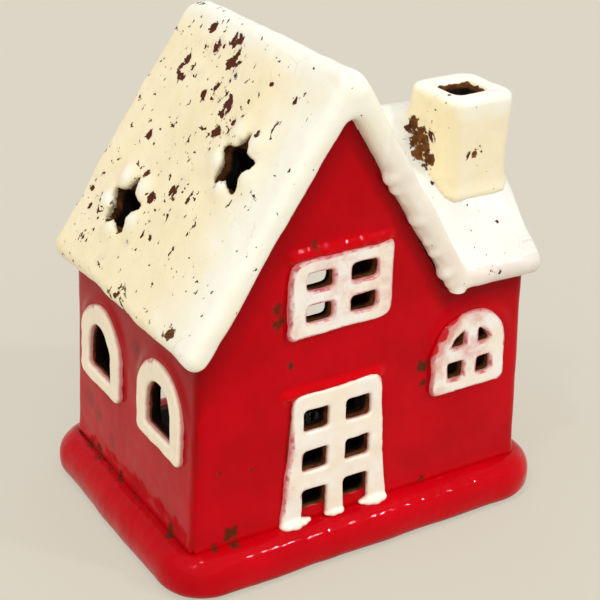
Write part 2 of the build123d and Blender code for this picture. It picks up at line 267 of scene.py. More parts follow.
def settle(made):
    """Turn an object's modifiers into a plain mesh, with smooth shading, and remove them."""
    graph = bpy.context.evaluated_depsgraph_get()
    graph.update()
    mesh = bpy.data.meshes.new_from_object(made.evaluated_get(graph))
    made.modifiers.clear()
    old = made.data
    made.data = mesh
    mesh.name = made.name
    bpy.data.meshes.remove(old)
    mesh.shade_smooth()
    return made


def melt(made, voxel, rounds):
    """Fuse an object's solids into one skin and melt its edges."""
    remesh = made.modifiers.new("fuse", "REMESH")
    remesh.mode = "VOXEL"
    remesh.voxel_size = voxel
    smooth = made.modifiers.new("melt", "SMOOTH")
    smooth.factor = 0.5
    smooth.iterations = rounds
    settle(made)
    print(made.name, len(made.data.polygons), "faces after melting")
    return made


print("copies can be taken of", len(nodes), "nodes")

# %% [markdown]
# Depth under the glazed faces is the field that every finish needs: it is 0 on the outside and grows
# inwards, so it tells glaze from bare clay in every opening. It could be painted by hand, but measured from
# planes it stays true when a size changes. The planes come from the frame, and only the slopes are given.

# %% Depth fields
wall_lean = radians(2.5)
left_pitch = radians(56.2)
right_pitch = radians(58.6)
wing_pitch = radians(44.0)
wing_back_pitch = radians(41.0)


def outer_plane(node, direction):
    """The plane that closes a node on one side, as a unit normal and an offset."""
    normal = np.array(direction) / np.linalg.norm(direction)
    return normal, float((points_of(nodes[node].data) @ normal).max())


ridge_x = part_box("main_roof_left")[1].x

front_plane = outer_plane("front_wall", (0, -1, 0))
back_plane = outer_plane("back_wall", (0, 1, 0))
left_plane = outer_plane("left_wall", (-cos(wall_lean), 0, sin(wall_lean)))
right_plane = outer_plane("right_wall", (cos(wall_lean), 0, sin(wall_lean)))
left_slope = outer_plane("main_roof_left", (-sin(left_pitch), 0, cos(left_pitch)))
right_slope = outer_plane("main_roof_right", (sin(right_pitch), 0, cos(right_pitch)))
wing_front_slope = outer_plane("wing_roof_front", (0, -sin(wing_pitch), cos(wing_pitch)))
wing_back_slope = outer_plane("wing_roof_back", (0, sin(wing_back_pitch), cos(wing_back_pitch)))


def depth_under(points, *planes):
    """How deep points lie under the nearest of some planes."""
    return np.min([offset - points @ normal for normal, offset in planes], axis=0)


def wall_depth(points):
    """How deep points lie inside the four walls."""
    return depth_under(points, front_plane, back_plane, left_plane, right_plane)


def roof_depth(points):
    """How deep points lie under the two crossing roofs."""
    main = depth_under(points, left_slope, right_slope)
    wing = depth_under(points, wing_front_slope, wing_back_slope)
    return np.maximum(main, np.minimum(wing, points[:, 0] - ridge_x))


def keep_field(made, name, values):
    """Store one number for each point of a mesh, where materials and Geometry Nodes can read it."""
    field = made.data.attributes.new(name, "FLOAT", "POINT")
    field.data.foreach_set("value", np.asarray(values, np.float32))


print("planes of the walls and roofs read from the frame")

# %% [markdown]
# Three node groups hold what the glazes share. Crawling is what a thick glaze does over dust or a seam: it
# draws back and leaves ragged bare pits. Crazing is the net of hair cracks in an old cream glaze. The edge
# is the ragged line where a glaze ends on bare clay. Image textures could show them, but noise needs no
# seams. The pit pattern is a function, because the skin's Geometry Nodes dig the same pits that the
# material colours.

# %% Shared glaze patterns
PIT_SIZE = 5.0 * MM
PIT_STRETCH = 0.82


def crawl_pattern(tree, place, wear, lean):
    """Ragged pits, 1 where the clay is bare. They run down a slope and grow denser with wear."""
    turn = {"Vector": place, "Angle": lean}
    level = wire(tree, "ShaderNodeVectorRotate", turn, rotation_type="Y_AXIS").outputs[0]
    drawn = vector_of(tree, "MULTIPLY", level, (PIT_STRETCH, 1.0, 1.0))
    broad = noise(tree, drawn, PIT_SIZE, detail=4.0, roughness=0.6, distortion=0.5)
    fine = noise(tree, drawn, 0.4 * PIT_SIZE, detail=2.0, roughness=0.55, distortion=0.2)
    broad_edge = sum_of(tree, "MULTIPLY_ADD", wear, -0.17, 0.735)
    fine_edge = sum_of(tree, "MULTIPLY_ADD", wear, -0.11, 0.737)
    broad_pit = ramp(tree, sum_of(tree, "SUBTRACT", broad, broad_edge), 0.0, 0.018)
    fine_pit = ramp(tree, sum_of(tree, "SUBTRACT", fine, fine_edge), 0.0, 0.03)
    return sum_of(tree, "MAXIMUM", broad_pit, fine_pit)


VECTOR = "NodeSocketVector"
VALUE = "NodeSocketFloat"

crawl_group, at, out = new_group(
    "glaze_crawl",
    "ShaderNodeTree",
    [("Place", VECTOR, None), ("Wear", VALUE, 0.2), ("Lean", VALUE, 0.0)],
    [("Bare", VALUE)],
)
bare = crawl_pattern(crawl_group, at["Place"], at["Wear"], at["Lean"])
crawl_group.links.new(bare, out["Bare"])

craze_group, at, out = new_group(
    "glaze_crazing",
    "ShaderNodeTree",
    [("Place", VECTOR, None), ("Size", VALUE, 5 * MM), ("Reach", VALUE, 0.5)],
    [("Crack", VALUE)],
)
wander = noise(craze_group, at["Place"], 3 * MM, detail=2.0)
shift = sum_of(craze_group, "MULTIPLY_ADD", wander, 2.4 * MM, -1.2 * MM)
bent = vector_of(craze_group, "ADD", at["Place"], shift)
per_metre = sum_of(craze_group, "DIVIDE", 1.0, at["Size"])
net = {"Vector": bent, "Scale": per_metre}
cells = wire(craze_group, "ShaderNodeTexVoronoi", net, feature="DISTANCE_TO_EDGE").outputs["Distance"]
line = ramp(craze_group, cells, 0.0, 0.02, 1.0, 0.0)
patches = noise(craze_group, at["Place"], 14 * MM, detail=2.0)
shown = ramp(craze_group, sum_of(craze_group, "ADD", patches, at["Reach"]), 1.0, 1.12)
craze_group.links.new(times(craze_group, line, shown), out["Crack"])

edge_group, at, out = new_group(
    "glaze_edge",
    "ShaderNodeTree",
    [("Place", VECTOR, None), ("Depth", VALUE, 0.0), ("Reach", VALUE, 2 * MM), ("Ragged", VALUE, 0.8 * MM)],
    [("Clay", VALUE)],
)
rag = noise(edge_group, at["Place"], 2.2 * MM, detail=3.0, roughness=0.6)
rag = times(edge_group, sum_of(edge_group, "SUBTRACT", rag, 0.5), 4.0)
torn = sum_of(edge_group, "MULTIPLY_ADD", rag, at["Ragged"], at["Depth"])
past = sum_of(edge_group, "SUBTRACT", torn, at["Reach"])
edge_group.links.new(ramp(edge_group, past, 0.0, 0.25 * MM), out["Clay"])
print("shader groups:", [g.name for g in (crawl_group, craze_group, edge_group)])

# %% [markdown]
# Every finish starts from one Principled shader on the object's own coordinates, so that its pattern stays
# on the piece when it moves. Bare earthenware shows through all glazes, so its colour is made here once.

# %% Finish helpers
def new_finish(name):
    """A material with its tree, its shader and the object's own coordinates."""
    made = bpy.data.materials.new(name)
    made.use_nodes = True
    tree = made.node_tree
    shader = tree.nodes["Principled BSDF"]
    place = wire(tree, "ShaderNodeTexCoord").outputs["Object"]
    return made, tree, shader, place


def field(tree, name):
    """A number stored on the mesh."""
    return wire(tree, "ShaderNodeAttribute", attribute_name=name).outputs["Fac"]


def use_group(tree, group, feeds):
    """The first output of a shared group, placed in a material."""
    return wire(tree, "ShaderNodeGroup", feeds, node_tree=group).outputs[0]


def feed_shader(tree, shader, colour, roughness, height, distance):
    """Feed a shader's colour and roughness, and its normal through a bump of this height."""
    tree.links.new(colour, shader.inputs["Base Color"])
    tree.links.new(roughness, shader.inputs["Roughness"])
    bump = wire(tree, "ShaderNodeBump", {"Height": height, "Strength": 1.0, "Distance": distance})
    tree.links.new(bump.outputs[0], shader.inputs["Normal"])


CLAY = (0.210, 0.072, 0.013, 1.0)
CLAY_DARK = (0.080, 0.024, 0.006, 1.0)
# Near-black deep inside: partly soot, partly painted shade of the dark inside.
SOOT_AND_SHADE = (0.006, 0.003, 0.002, 1.0)
SCAB = (0.092, 0.012, 0.001, 1.0)


def clay_colour(tree, place, depth):
    """Bare earthenware, mottled as it came out of the kiln, and near-black deep inside: partly soot where
    candles burned, partly painted shade.
    """
    grain = noise(tree, place, 3.5 * MM, detail=4.0, roughness=0.65)
    bare_clay = blend_colours(tree, ramp(tree, grain, 0.35, 0.65), CLAY_DARK, CLAY)
    return blend_colours(tree, ramp(tree, depth, 2.6 * MM, 4.2 * MM), bare_clay, SOOT_AND_SHADE)


def over_clay(tree, place, colour, reach, ragged):
    """A glaze's colour that ends raggedly on bare clay, and the share of clay."""
    depth = field(tree, "clay")
    clay = use_group(tree, edge_group, {"Place": place, "Depth": depth, "Reach": reach, "Ragged": ragged})
    return blend_colours(tree, clay, colour, clay_colour(tree, place, depth)), clay


print("finish helpers ready")

# %% [markdown]
# The red glaze is a deep, wet red over brown earthenware. It breaks thin and brown over sharp crests, pools
# brighter in hollows, and leaves small bare spots where two slabs meet. One plain red would look like
# paint. So colour and roughness follow fields of the mesh, and the finish follows the shape. The plinth is
# wetter than the walls, so a function makes two such reds.

# %% Red glaze
RED_DEEP = (0.500, 0.0004, 0.0044, 1.0)
RED_BRIGHT = (0.595, 0.0004, 0.0066, 1.0)
RED_POOL = (0.670, 0.0003, 0.0040, 1.0)
RED_THIN = (0.190, 0.010, 0.007, 1.0)
# RED_SHADE is painted shade. It is also the tone of the smudges on the left wall.
RED_SHADE = (0.170, 0.0010, 0.0022, 1.0)
BURNT = (0.060, 0.024, 0.007, 1.0)
RED_GLINT = (1.0, 0.36, 0.42, 1.0)


def red_finish(name, level, peel_size, peel_height):
    """The red glaze, with its own level of reflection and its own orange peel."""
    made, tree, shader, place = new_finish(name)
    cloud = noise(tree, place, 16 * MM, detail=3.0, roughness=0.55)
    colour = blend_colours(tree, ramp(tree, cloud, 0.3, 0.7), RED_DEEP, RED_BRIGHT)
    colour = blend_colours(tree, ramp(tree, field(tree, "pool"), 0.05, 0.9), colour, RED_POOL)
    # The shade field is painted shade, broken up by the cloud noise. On the walls it also carries real
    # smudges.
    mottled = sum_of(tree, "MULTIPLY_ADD", cloud, 0.7, 0.65)
    shade = sum_of(tree, "MULTIPLY", field(tree, "shade"), mottled, clamp=True)
    colour = blend_colours(tree, shade, colour, RED_SHADE)
    sharp = ramp(tree, field(tree, "crest"), 0.04 * MM, 0.22 * MM)
    broken = ramp(tree, noise(tree, place, 4 * MM, detail=3.0), 0.42, 0.6)
    thin = times(tree, sharp, broken)
    colour = blend_colours(tree, times(tree, thin, 0.2), colour, RED_THIN)
    speck = noise(tree, place, 1.3 * MM, detail=2.0, roughness=0.5)
    speck = times(tree, ramp(tree, speck, 0.74, 0.78), 0.55)
    colour = blend_colours(tree, speck, colour, RED_THIN)
    spot = noise(tree, place, 2.2 * MM, detail=4.0, roughness=0.7)
    scab = ramp(tree, sum_of(tree, "ADD", spot, field(tree, "wear")), 1.04, 1.32)
    colour = blend_colours(tree, times(tree, scab, 0.9), colour, BURNT)
    colour, clay = over_clay(tree, place, colour, 0.7 * MM, 0.35 * MM)
    smear = noise(tree, place, 9 * MM, detail=2.0)
    gloss = ramp(tree, smear, 0.3, 0.7, 0.04, 0.08)
    dull = sum_of(tree, "MAXIMUM", clay, times(tree, scab, 0.55))
    rough = sum_of(tree, "MULTIPLY_ADD", dull, 0.7, gloss)
    peel = noise(tree, place, peel_size, detail=1.0)
    height = sum_of(tree, "MULTIPLY_ADD", scab, -0.6, times(tree, peel, peel_height))
    grit = noise(tree, place, 0.7 * MM, detail=2.0)
    gritty = times(tree, grit, clay)
    height = sum_of(tree, "MULTIPLY_ADD", gritty, 0.7, height)
    feed_shader(tree, shader, colour, rough, height, 0.25 * MM)
    shader.inputs["Specular IOR Level"].default_value = level
    shader.inputs["Specular Tint"].default_value = RED_GLINT
    print(name, len(tree.nodes), "nodes")
    return made


red_glaze = red_finish("red_glaze", 0.14, 3.5 * MM, 0.12)
wet_red_glaze = red_finish("wet_red_glaze", 0.19, 2.6 * MM, 0.5)

# %% [markdown]
# The cream glaze lies thick as icing: almost white where it is thickest, on the rims and the wing, and
# ivory where it runs thin. Pits and hair cracks show the clay. Two materials would meet in a hard line, so
# one blends its tones by a field of thickness.

# %% Cream glaze
CREAM = (0.970, 0.855, 0.575, 1.0)
CREAM_THIN = (0.945, 0.805, 0.510, 1.0)
CREAM_THICK = (0.990, 0.962, 0.825, 1.0)
WHITE = (0.835, 0.826, 0.766, 1.0)
HAIRLINE = (0.330, 0.240, 0.140, 1.0)
BLUSH_AND_SHADE = (0.800, 0.610, 0.520, 1.0)
GRIME = (0.58, 0.54, 0.48, 1.0)

cream_glaze, tree, shader, place = new_finish("cream_glaze")
cloud = noise(tree, place, 13 * MM, detail=3.0, roughness=0.6)
colour = blend_colours(tree, ramp(tree, cloud, 0.35, 0.7), CREAM, CREAM_THIN)
thick = sum_of(tree, "MULTIPLY_ADD", sum_of(tree, "SUBTRACT", cloud, 0.5), 0.9, field(tree, "thick"))
colour = blend_colours(tree, ramp(tree, thick, 0.15, 0.85), colour, CREAM_THICK)
colour = blend_colours(tree, ramp(tree, thick, 0.9, 1.3), colour, WHITE)
crack = use_group(tree, craze_group, {"Place": place, "Size": 8.0 * MM, "Reach": 0.42})
colour = blend_colours(tree, times(tree, crack, 0.24), colour, HAIRLINE)
# Pink tint on the rake's face: partly red through thin glaze, partly painted shade.
blush_and_shade = times(tree, field(tree, "blush_and_shade"), ramp(tree, cloud, 0.3, 0.7, 0.3, 0.75))
colour = blend_colours(tree, blush_and_shade, colour, BLUSH_AND_SHADE)
wear = field(tree, "wear")
pits = use_group(tree, crawl_group, {"Place": place, "Wear": wear, "Lean": left_pitch})
halo = noise(tree, place, 5 * MM, detail=3.0, roughness=0.6)
grime = times(tree, ramp(tree, halo, 0.5, 0.75), ramp(tree, wear, 0.35, 0.95))
colour = blend_colours(tree, times(tree, grime, 0.4), colour, GRIME)
colour = blend_colours(tree, pits, colour, SCAB)
colour, clay = over_clay(tree, place, colour, 0.9 * MM, 0.9 * MM)
smear = noise(tree, place, 8 * MM, detail=2.0)
gloss = ramp(tree, smear, 0.3, 0.7, 0.16, 0.28)
bare = sum_of(tree, "MAXIMUM", clay, times(tree, pits, 0.7))
rough = sum_of(tree, "MULTIPLY_ADD", bare, 0.7, gloss)
peel = noise(tree, place, 2.2 * MM, detail=2.0)
height = sum_of(tree, "MULTIPLY_ADD", pits, -1.0, times(tree, peel, 0.10))
height = sum_of(tree, "MULTIPLY_ADD", crack, -0.08, height)
feed_shader(tree, shader, colour, rough, height, 0.35 * MM)
shader.inputs["Specular IOR Level"].default_value = 0.24
print("cream_glaze:", len(tree.nodes), "nodes")

# %% [markdown]
# On the frames the cream was brushed over the red while both were wet, so it shades through pink to red
# towards the wall, and the panes of some have pink rims. Painting each frame would take long. The relief
# field, the height above the wall, carries the shading, and the crest field finds the rims.

# %% Brushed cream of the frames
PINK = (0.78, 0.36, 0.32, 1.0)
RIM_PINK = (0.62, 0.11, 0.15, 1.0)
FRAME_CREAM = (0.985, 0.880, 0.730, 1.0)
FRAME_WHITE = (0.990, 0.950, 0.880, 1.0)
FRAME_WARM = (0.985, 0.855, 0.640, 1.0)

frame_glaze, tree, shader, place = new_finish("frame_glaze")
cloud = noise(tree, place, 7 * MM, detail=3.0, roughness=0.6)
colour = blend_colours(tree, ramp(tree, cloud, 0.35, 0.65), FRAME_CREAM, FRAME_WHITE)
colour = blend_colours(tree, field(tree, "warm"), colour, FRAME_WARM)
relief = field(tree, "relief")
brush = sum_of(tree, "SUBTRACT", noise(tree, place, 2.5 * MM, detail=3.0, roughness=0.6), 0.5)
cover = sum_of(tree, "MULTIPLY_ADD", brush, 1.0 * MM, relief)
cover = sum_of(tree, "SUBTRACT", cover, field(tree, "wear"))
colour = blend_colours(tree, ramp(tree, cover, 0.65 * MM, 1.55 * MM), PINK, colour)
rim = ramp(tree, field(tree, "crest"), 0.03 * MM, 0.12 * MM)
rim = times(tree, rim, ramp(tree, brush, -0.12, 0.12, 0.25, 1.0))
rim = times(tree, rim, ramp(tree, field(tree, "wear"), 0.05 * MM, 0.2 * MM))
colour = blend_colours(tree, rim, colour, RIM_PINK)
colour = blend_colours(tree, ramp(tree, cover, 0.0, 0.35 * MM), RED_BRIGHT, colour)
colour, clay = over_clay(tree, place, colour, 0.0, 0.25 * MM)
gloss = ramp(tree, cloud, 0.3, 0.7, 0.14, 0.26)
rough = sum_of(tree, "MULTIPLY_ADD", clay, 0.6, gloss)
peel = noise(tree, place, 1.8 * MM, detail=2.0)
feed_shader(tree, shader, colour, rough, times(tree, peel, 0.12), 0.25 * MM)
shader.inputs["Specular IOR Level"].default_value = 0.35
print("frame_glaze:", len(tree.nodes), "nodes")

# %% [markdown]
# A hand-made pot is never quite flat. Sculpting each piece would show that too, but a Geometry Nodes tree
# does it alike for every ceramic piece. It thickens the clay by the glaze, lets it wander by a few tenths
# of a millimetre, swells where a field says so, digs the pits, and measures each point's crest, which is
# how far it stands out of its neighbours.

# %% Glaze skin
skin_inputs = [
    ("Geometry", "NodeSocketGeometry", None),
    ("Glaze Thickness", VALUE, 0.1 * MM),
    ("Wave Height", VALUE, 0.25 * MM),
    ("Wave Size", VALUE, 24 * MM),
    ("Ripple Height", VALUE, 0.06 * MM),
    ("Ripple Size", VALUE, 6 * MM),
    ("Pit Depth", VALUE, 0.0),
    ("Glaze", "NodeSocketMaterial", None),
]
skin_outputs = [("Geometry", "NodeSocketGeometry")]
skin, at, out = new_group("glaze_skin", "GeometryNodeTree", skin_inputs, skin_outputs)
here = wire(skin, "GeometryNodeInputPosition").outputs[0]
normal = wire(skin, "GeometryNodeInputNormal").outputs[0]


def stored(name):
    """A field of the mesh inside the skin's tree."""
    return wire(skin, "GeometryNodeInputNamedAttribute", {"Name": name}, data_type="FLOAT").outputs[0]


def wander_by(size, height):
    """Noise about zero, of one size and height."""
    drawn = wire(skin, "ShaderNodeTexNoise", {"Vector": here, "Detail": 1.0})
    skin.links.new(sum_of(skin, "DIVIDE", 1.0, size), drawn.inputs["Scale"])
    about_zero = sum_of(skin, "SUBTRACT", drawn.outputs[0], 0.5)
    return times(skin, about_zero, times(skin, height, 4.0))


wave = wander_by(at["Wave Size"], at["Wave Height"])
ripple = wander_by(at["Ripple Size"], at["Ripple Height"])
pit = crawl_pattern(skin, here, stored("wear"), left_pitch)
coat = sum_of(skin, "ADD", at["Glaze Thickness"], stored("swell"))
rise = sum_of(skin, "ADD", sum_of(skin, "ADD", wave, ripple), coat)
rise = sum_of(skin, "SUBTRACT", rise, times(skin, pit, at["Pit Depth"]))
push = wire(skin, "ShaderNodeVectorMath", {0: normal, "Scale": rise}, operation="SCALE").outputs[0]
lifted = {"Geometry": at["Geometry"], "Offset": push}
moved = wire(skin, "GeometryNodeSetPosition", lifted).outputs[0]
around = wire(skin, "GeometryNodeBlurAttribute", data_type="FLOAT_VECTOR")
around.inputs["Iterations"].default_value = 8
skin.links.new(here, next(s for s in around.inputs if s.type == "VECTOR"))
blurred = next(s for s in around.outputs if s.type == "VECTOR")
stand = {0: vector_of(skin, "SUBTRACT", here, blurred), 1: normal}
crest = wire(skin, "ShaderNodeVectorMath", stand, operation="DOT_PRODUCT").outputs["Value"]
kept = wire(skin, "GeometryNodeStoreNamedAttribute", {"Geometry": moved, "Name": "crest"}, data_type="FLOAT")
skin.links.new(crest, next(s for s in kept.inputs if s.name == "Value" and s.type == "VALUE"))
whole = wire(skin, "GeometryNodeRealizeInstances", {"Geometry": kept.outputs[0]}).outputs[0]
dressed = {"Geometry": whole, "Material": at["Glaze"]}
coated = wire(skin, "GeometryNodeSetMaterial", dressed).outputs[0]
skin.links.new(coated, out["Geometry"])


def set_inputs(modifier, values):
    """Set a Geometry Nodes modifier's inputs by the names of their sockets."""
    for socket in modifier.node_group.interface.items_tree:
        if socket.in_out == "INPUT" and socket.name in values:
            modifier[socket.identifier] = values[socket.name]


def dip(made, glaze, **sizes):
    """Coat a melted piece with the glaze skin."""
    modifier = made.modifiers.new("glaze", "NODES")
    modifier.node_group = skin
    values = {name.replace("_", " ").title(): value for name, value in sizes.items()}
    values["Glaze"] = glaze
    set_inputs(modifier, values)
    settle(made)
    if not made.data.materials:
        made.data.materials.append(glaze)
    return made


def hand_in(made, body, slot, *replaced):
    """Give a finished piece its body and hide the CAD nodes it stands for. The slot argument is not used."""
    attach(made, body)
    if replaced:
        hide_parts(*replaced)
    print(made.name, "rides on", body, "for", replaced, len(made.data.polygons), "faces")


print("glaze_skin:", len(skin.nodes), "nodes")

# %% [markdown]
# Spots of wear are listed where the pot shows them, each with a reach and a strength. Texture
# painting would do too, but needs an image. A smooth field built from such anchors needs none. It sets how
# many pits the pattern leaves there.

# %% Wear
BALD_EDGE = 0.9 * MM
BALD_MOST = 2.4 * MM


def held(values):
    """Values held between 0 and 1."""
    return np.clip(values, 0.0, 1.0)


def bell(away, reach):
    """A bell curve over distances, which has almost faded at twice the reach."""
    return np.exp(-((away / reach) ** 2))


def away_from(points, place):
    """Distance from points to a place, given in millimetres."""
    return np.linalg.norm(points - np.array(place) * MM, axis=1)


def wear_field(points, spots):
    """The strongest of some spots, given as (x, y, z, reach, strength) in millimetres, at each point."""
    strongest = np.zeros(len(points))
    for *place, reach, strength in spots:
        away = away_from(points, place) / (reach * MM)
        strongest = np.maximum(strongest, strength * held(1.0 - away) ** 0.5)
    return strongest


def bald_patches(points, patches):
    """Depth that marks bare clay in patches, given as (x, y, z, reach) in millimetres."""
    depth = np.full(len(points), -1.0)
    for *place, reach in patches:
        depth = np.maximum(depth, BALD_EDGE + 0.5 * (reach * MM - away_from(points, place)))
    return np.minimum(depth, BALD_MOST)


def near_line(points, start, end):
    """Distance from points to a straight stretch."""
    start, end = np.array(start), np.array(end)
    along = held((points - start) @ (end - start) / np.dot(end - start, end - start))
    return np.linalg.norm(points - start - along[:, None] * (end - start), axis=1)


print("helpers for spots, patches and lines ready")

# %% [markdown]
# Thick glaze runs down until something stops it: it stands in a roll on top of each frame and in drops
# along the lower lip of the right rake. Modelling each drop would be slow. Geometry Nodes lay them along a
# path: points on a line, a sphere on each, and a random size with a fixed seed. They are joined to the
# slabs before the melt and flow into them.

# %% Drops along a path
DROP_FLATNESS = 0.62

drops, at, out = new_group(
    "path_drops",
    "GeometryNodeTree",
    [
        ("Geometry", "NodeSocketGeometry", None),
        ("Start", VECTOR, (0, 0, 0)),
        ("End", VECTOR, (0, 0, 0)),
        ("Count", "NodeSocketInt", 24),
        ("Smallest", VALUE, 0.8 * MM),
        ("Largest", VALUE, 2.0 * MM),
        ("Scatter", VALUE, 0.8 * MM),
        ("Seed", "NodeSocketInt", 4),
        ("Glaze", "NodeSocketMaterial", None),
    ],
    [("Geometry", "NodeSocketGeometry")],
)
ends = {"Start": at["Start"], "End": at["End"]}
path = wire(drops, "GeometryNodeCurvePrimitiveLine", ends).outputs[0]
spaced = wire(drops, "GeometryNodeResampleCurve", {"Curve": path, "Count": at["Count"]}).outputs[0]
dots = wire(drops, "GeometryNodeCurveToPoints", {"Curve": spaced, "Count": at["Count"]}).outputs[0]
least = times(drops, at["Scatter"], -1.0)
either_way = {0: least, 1: at["Scatter"], "Seed": at["Seed"]}
jitter = wire(drops, "FunctionNodeRandomValue", either_way, data_type="FLOAT_VECTOR").outputs[0]
strewn = wire(drops, "GeometryNodeSetPosition", {"Geometry": dots, "Offset": jitter}).outputs[0]
widths = {2: at["Smallest"], 3: at["Largest"], "Seed": at["Seed"]}
width = wire(drops, "FunctionNodeRandomValue", widths, data_type="FLOAT").outputs[1]
ball = wire(drops, "GeometryNodeMeshIcoSphere", {"Radius": 1.0, "Subdivisions": 3}).outputs[0]
balls = {"Points": strewn, "Instance": ball, "Scale": width}
placed = wire(drops, "GeometryNodeInstanceOnPoints", balls).outputs[0]
real = wire(drops, "GeometryNodeRealizeInstances", {"Geometry": placed}).outputs[0]
both = wire(drops, "GeometryNodeJoinGeometry")
drops.links.new(at["Geometry"], both.inputs[0])
drops.links.new(real, both.inputs[0])
dressed = {"Geometry": both.outputs[0], "Material": at["Glaze"]}
coated = wire(drops, "GeometryNodeSetMaterial", dressed).outputs[0]
drops.links.new(coated, out["Geometry"])
print("path_drops:", len(drops.nodes), "nodes")


def lay_drops(made, start, end, count, radii, scatter, seed, glaze):
    """Lay drops along a line on an object that is still to be melted."""
    modifier = made.modifiers.new("drops", "NODES")
    modifier.node_group = drops
    values = {"Start": start, "End": end, "Count": count, "Smallest": radii[0], "Largest": radii[1]}
    values.update({"Scatter": scatter, "Seed": seed, "Glaze": glaze})
    set_inputs(modifier, values)


def add_drops(made, places, radius):
    """Join flattened drops to an object before it is melted."""
    joined = bmesh.new()
    joined.from_mesh(made.data)
    for x, y, z, share in places:
        ball = bmesh.ops.create_icosphere(joined, subdivisions=3, radius=radius * share)["verts"]
        for vert in ball:
            vert.co.z *= DROP_FLATNESS
            vert.co.x += x
            vert.co.y += y
            vert.co.z += z
    joined.to_mesh(made.data)
    joined.free()

# %% [markdown]
# The walls are four slabs luted at their corners, with a roll of red glaze on top of each frame. Bevels
# could round the corners one by one, but there are many panes, so the slabs are fused into one shell. Drops
# laid along the tops of the straight frames melt into it as rolls.

# %% Walls
WALL_NODES = ("front_wall", "back_wall", "left_wall", "right_wall")
WALL_VOXEL = 0.76 * MM
ROLLS = (
    ("gable_window_frame", 1.55 * MM, 1.0 * MM, 2.0 * MM),
    ("door_frame", 1.2 * MM, 0.3 * MM, 4.0 * MM),
)
walls = copy_of("walls", *WALL_NODES)
roll_lines = []
for seed, (name, radius, lift, short) in enumerate(ROLLS):
    low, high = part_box(name)
    start = (low.x + 1.5 * MM, high.y - 0.2 * MM, high.z + lift)
    end = (high.x - short, high.y - 0.2 * MM, high.z + lift)
    roll_lines.append((start, end))
    lay_drops(walls, start, end, 22, (0.85 * radius, 1.1 * radius), 0.15 * MM, seed + 3, red_glaze)
melt(walls, WALL_VOXEL, 4)
points = points_of(walls.data)
x, y, z = points.T
depth = wall_depth(points)

# %% [markdown]
# Outside, the shell is glazed. Inside it is bare clay, near-black deep in, partly soot from candles and
# partly painted shade of the dark inside, and so are the sides of the panes behind the frames. A painted mask
# would have to be redone when a pane moves. The field of depths follows it, with a little more depth behind
# each frame.

# %% Bare clay of the walls
FRONT_FRAMES = ("gable_window_frame", "door_frame", "arched_window_frame")
LEFT_FRAMES = ("left_window_frame_front", "left_window_frame_back")
# Extra depth behind each frame turns the sides of the panes near-black: partly soot, partly painted shade.
soot_and_shade = np.zeros(len(points))
for name in FRONT_FRAMES + LEFT_FRAMES:
    low, high = (np.array(corner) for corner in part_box(name))
    reach = np.array((-1.0, 6.0, -1.0) if name in FRONT_FRAMES else (6.0, -1.0, -1.0)) * MM
    behind = np.all((points > low - reach) & (points < high + reach), axis=1) & (depth > 0.35 * MM)
    soot_and_shade = np.where(behind, 2.2 * MM if name in FRONT_FRAMES else 4.0 * MM, soot_and_shade)
keep_field(walls, "clay", depth + soot_and_shade)
print("walls:", int((soot_and_shade > 0).sum()), "of", len(points), "points lie behind frames")

# %% [markdown]
# Over the round-headed frames the roll of glaze is curved, and at the foot of the walls the glaze runs out
# in a small flare. Both could be sculpted. As each follows a line, a bell-shaped swell about that line is
# enough, and the same numbers tell the red where it pools.

# %% Rolls and foot of the walls
ROLL_HEIGHT = 1.5 * MM
ROLL_REACH = 1.9 * MM
FOOT_FLARE = 1.0 * MM
FOOT_REACH = 1.3 * MM
rolls = np.zeros(len(points))
for name in ("arched_window_frame", *LEFT_FRAMES):
    low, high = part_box(name)
    in_front = name == "arched_window_frame"
    radius = (high.x - low.x if in_front else high.y - low.y) / 2
    centre = np.array(((low.x + high.x) / 2, (low.y + high.y) / 2, high.z - radius))
    out_of = points - centre
    flat, off = (out_of[:, 0], out_of[:, 1]) if in_front else (out_of[:, 1], out_of[:, 0])
    away = np.hypot(np.hypot(flat, out_of[:, 2]) - radius - 0.9 * MM, off)
    upper = held(out_of[:, 2] / radius + 0.2)
    rolls = np.maximum(rolls, 0.7 * upper * bell(away, ROLL_REACH))
wall_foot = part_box("front_wall")[0].z
foot = held(np.exp(-(z - wall_foot) / FOOT_REACH) * (depth < 0.6 * MM))
swell = np.maximum(ROLL_HEIGHT * rolls, FOOT_FLARE * foot)
keep_field(walls, "swell", swell)
for start, end in roll_lines:
    rolls = np.maximum(rolls, np.exp(-((near_line(points, start, end) / (2.2 * MM)) ** 4)))
keep_field(walls, "pool", np.maximum(rolls, foot))
print("walls: largest swell", round(swell.max() / MM, 2), "mm")

# %% [markdown]
# Under the eaves and the left rake the red is darkened as painted shade. The left wall is darkened as painted
# shade, most towards its top, and it is also smudged and has dirt in its seams. Painting that would tie it to
# one mesh. Distances to the roof's planes and the height on the left wall give the painted shade, and listed
# spots the rest.

# %% Shade and wear of the walls
def more_at_the_back(y):
    """The share of dirt in a seam, which grows towards the back of the house."""
    return np.clip(0.55 + y / (60 * MM), 0.3, 0.8)


# Painted shade: bands of darker red on the front wall below the right rake, the wing's eave and the left
# rake.
roof_thick = 6.6 * MM
past_notch = (x - 23 * MM).clip(0.0)
short_of_notch = (25 * MM - x).clip(0.0)
under_rake = abs(depth_under(points, right_slope) - roof_thick) / (3.5 * MM) + past_notch / (4 * MM)
under_wing = abs(depth_under(points, wing_front_slope) - roof_thick) / (4.5 * MM)
under_wing += short_of_notch / (4 * MM)
under_left = 0.3 + abs(depth_under(points, left_slope) - roof_thick) / (8 * MM)
on_front = y < -30 * MM
nearest = np.minimum.reduce([under_rake, under_wing, under_left])
under = 0.66 * held(1.5 - nearest) * on_front
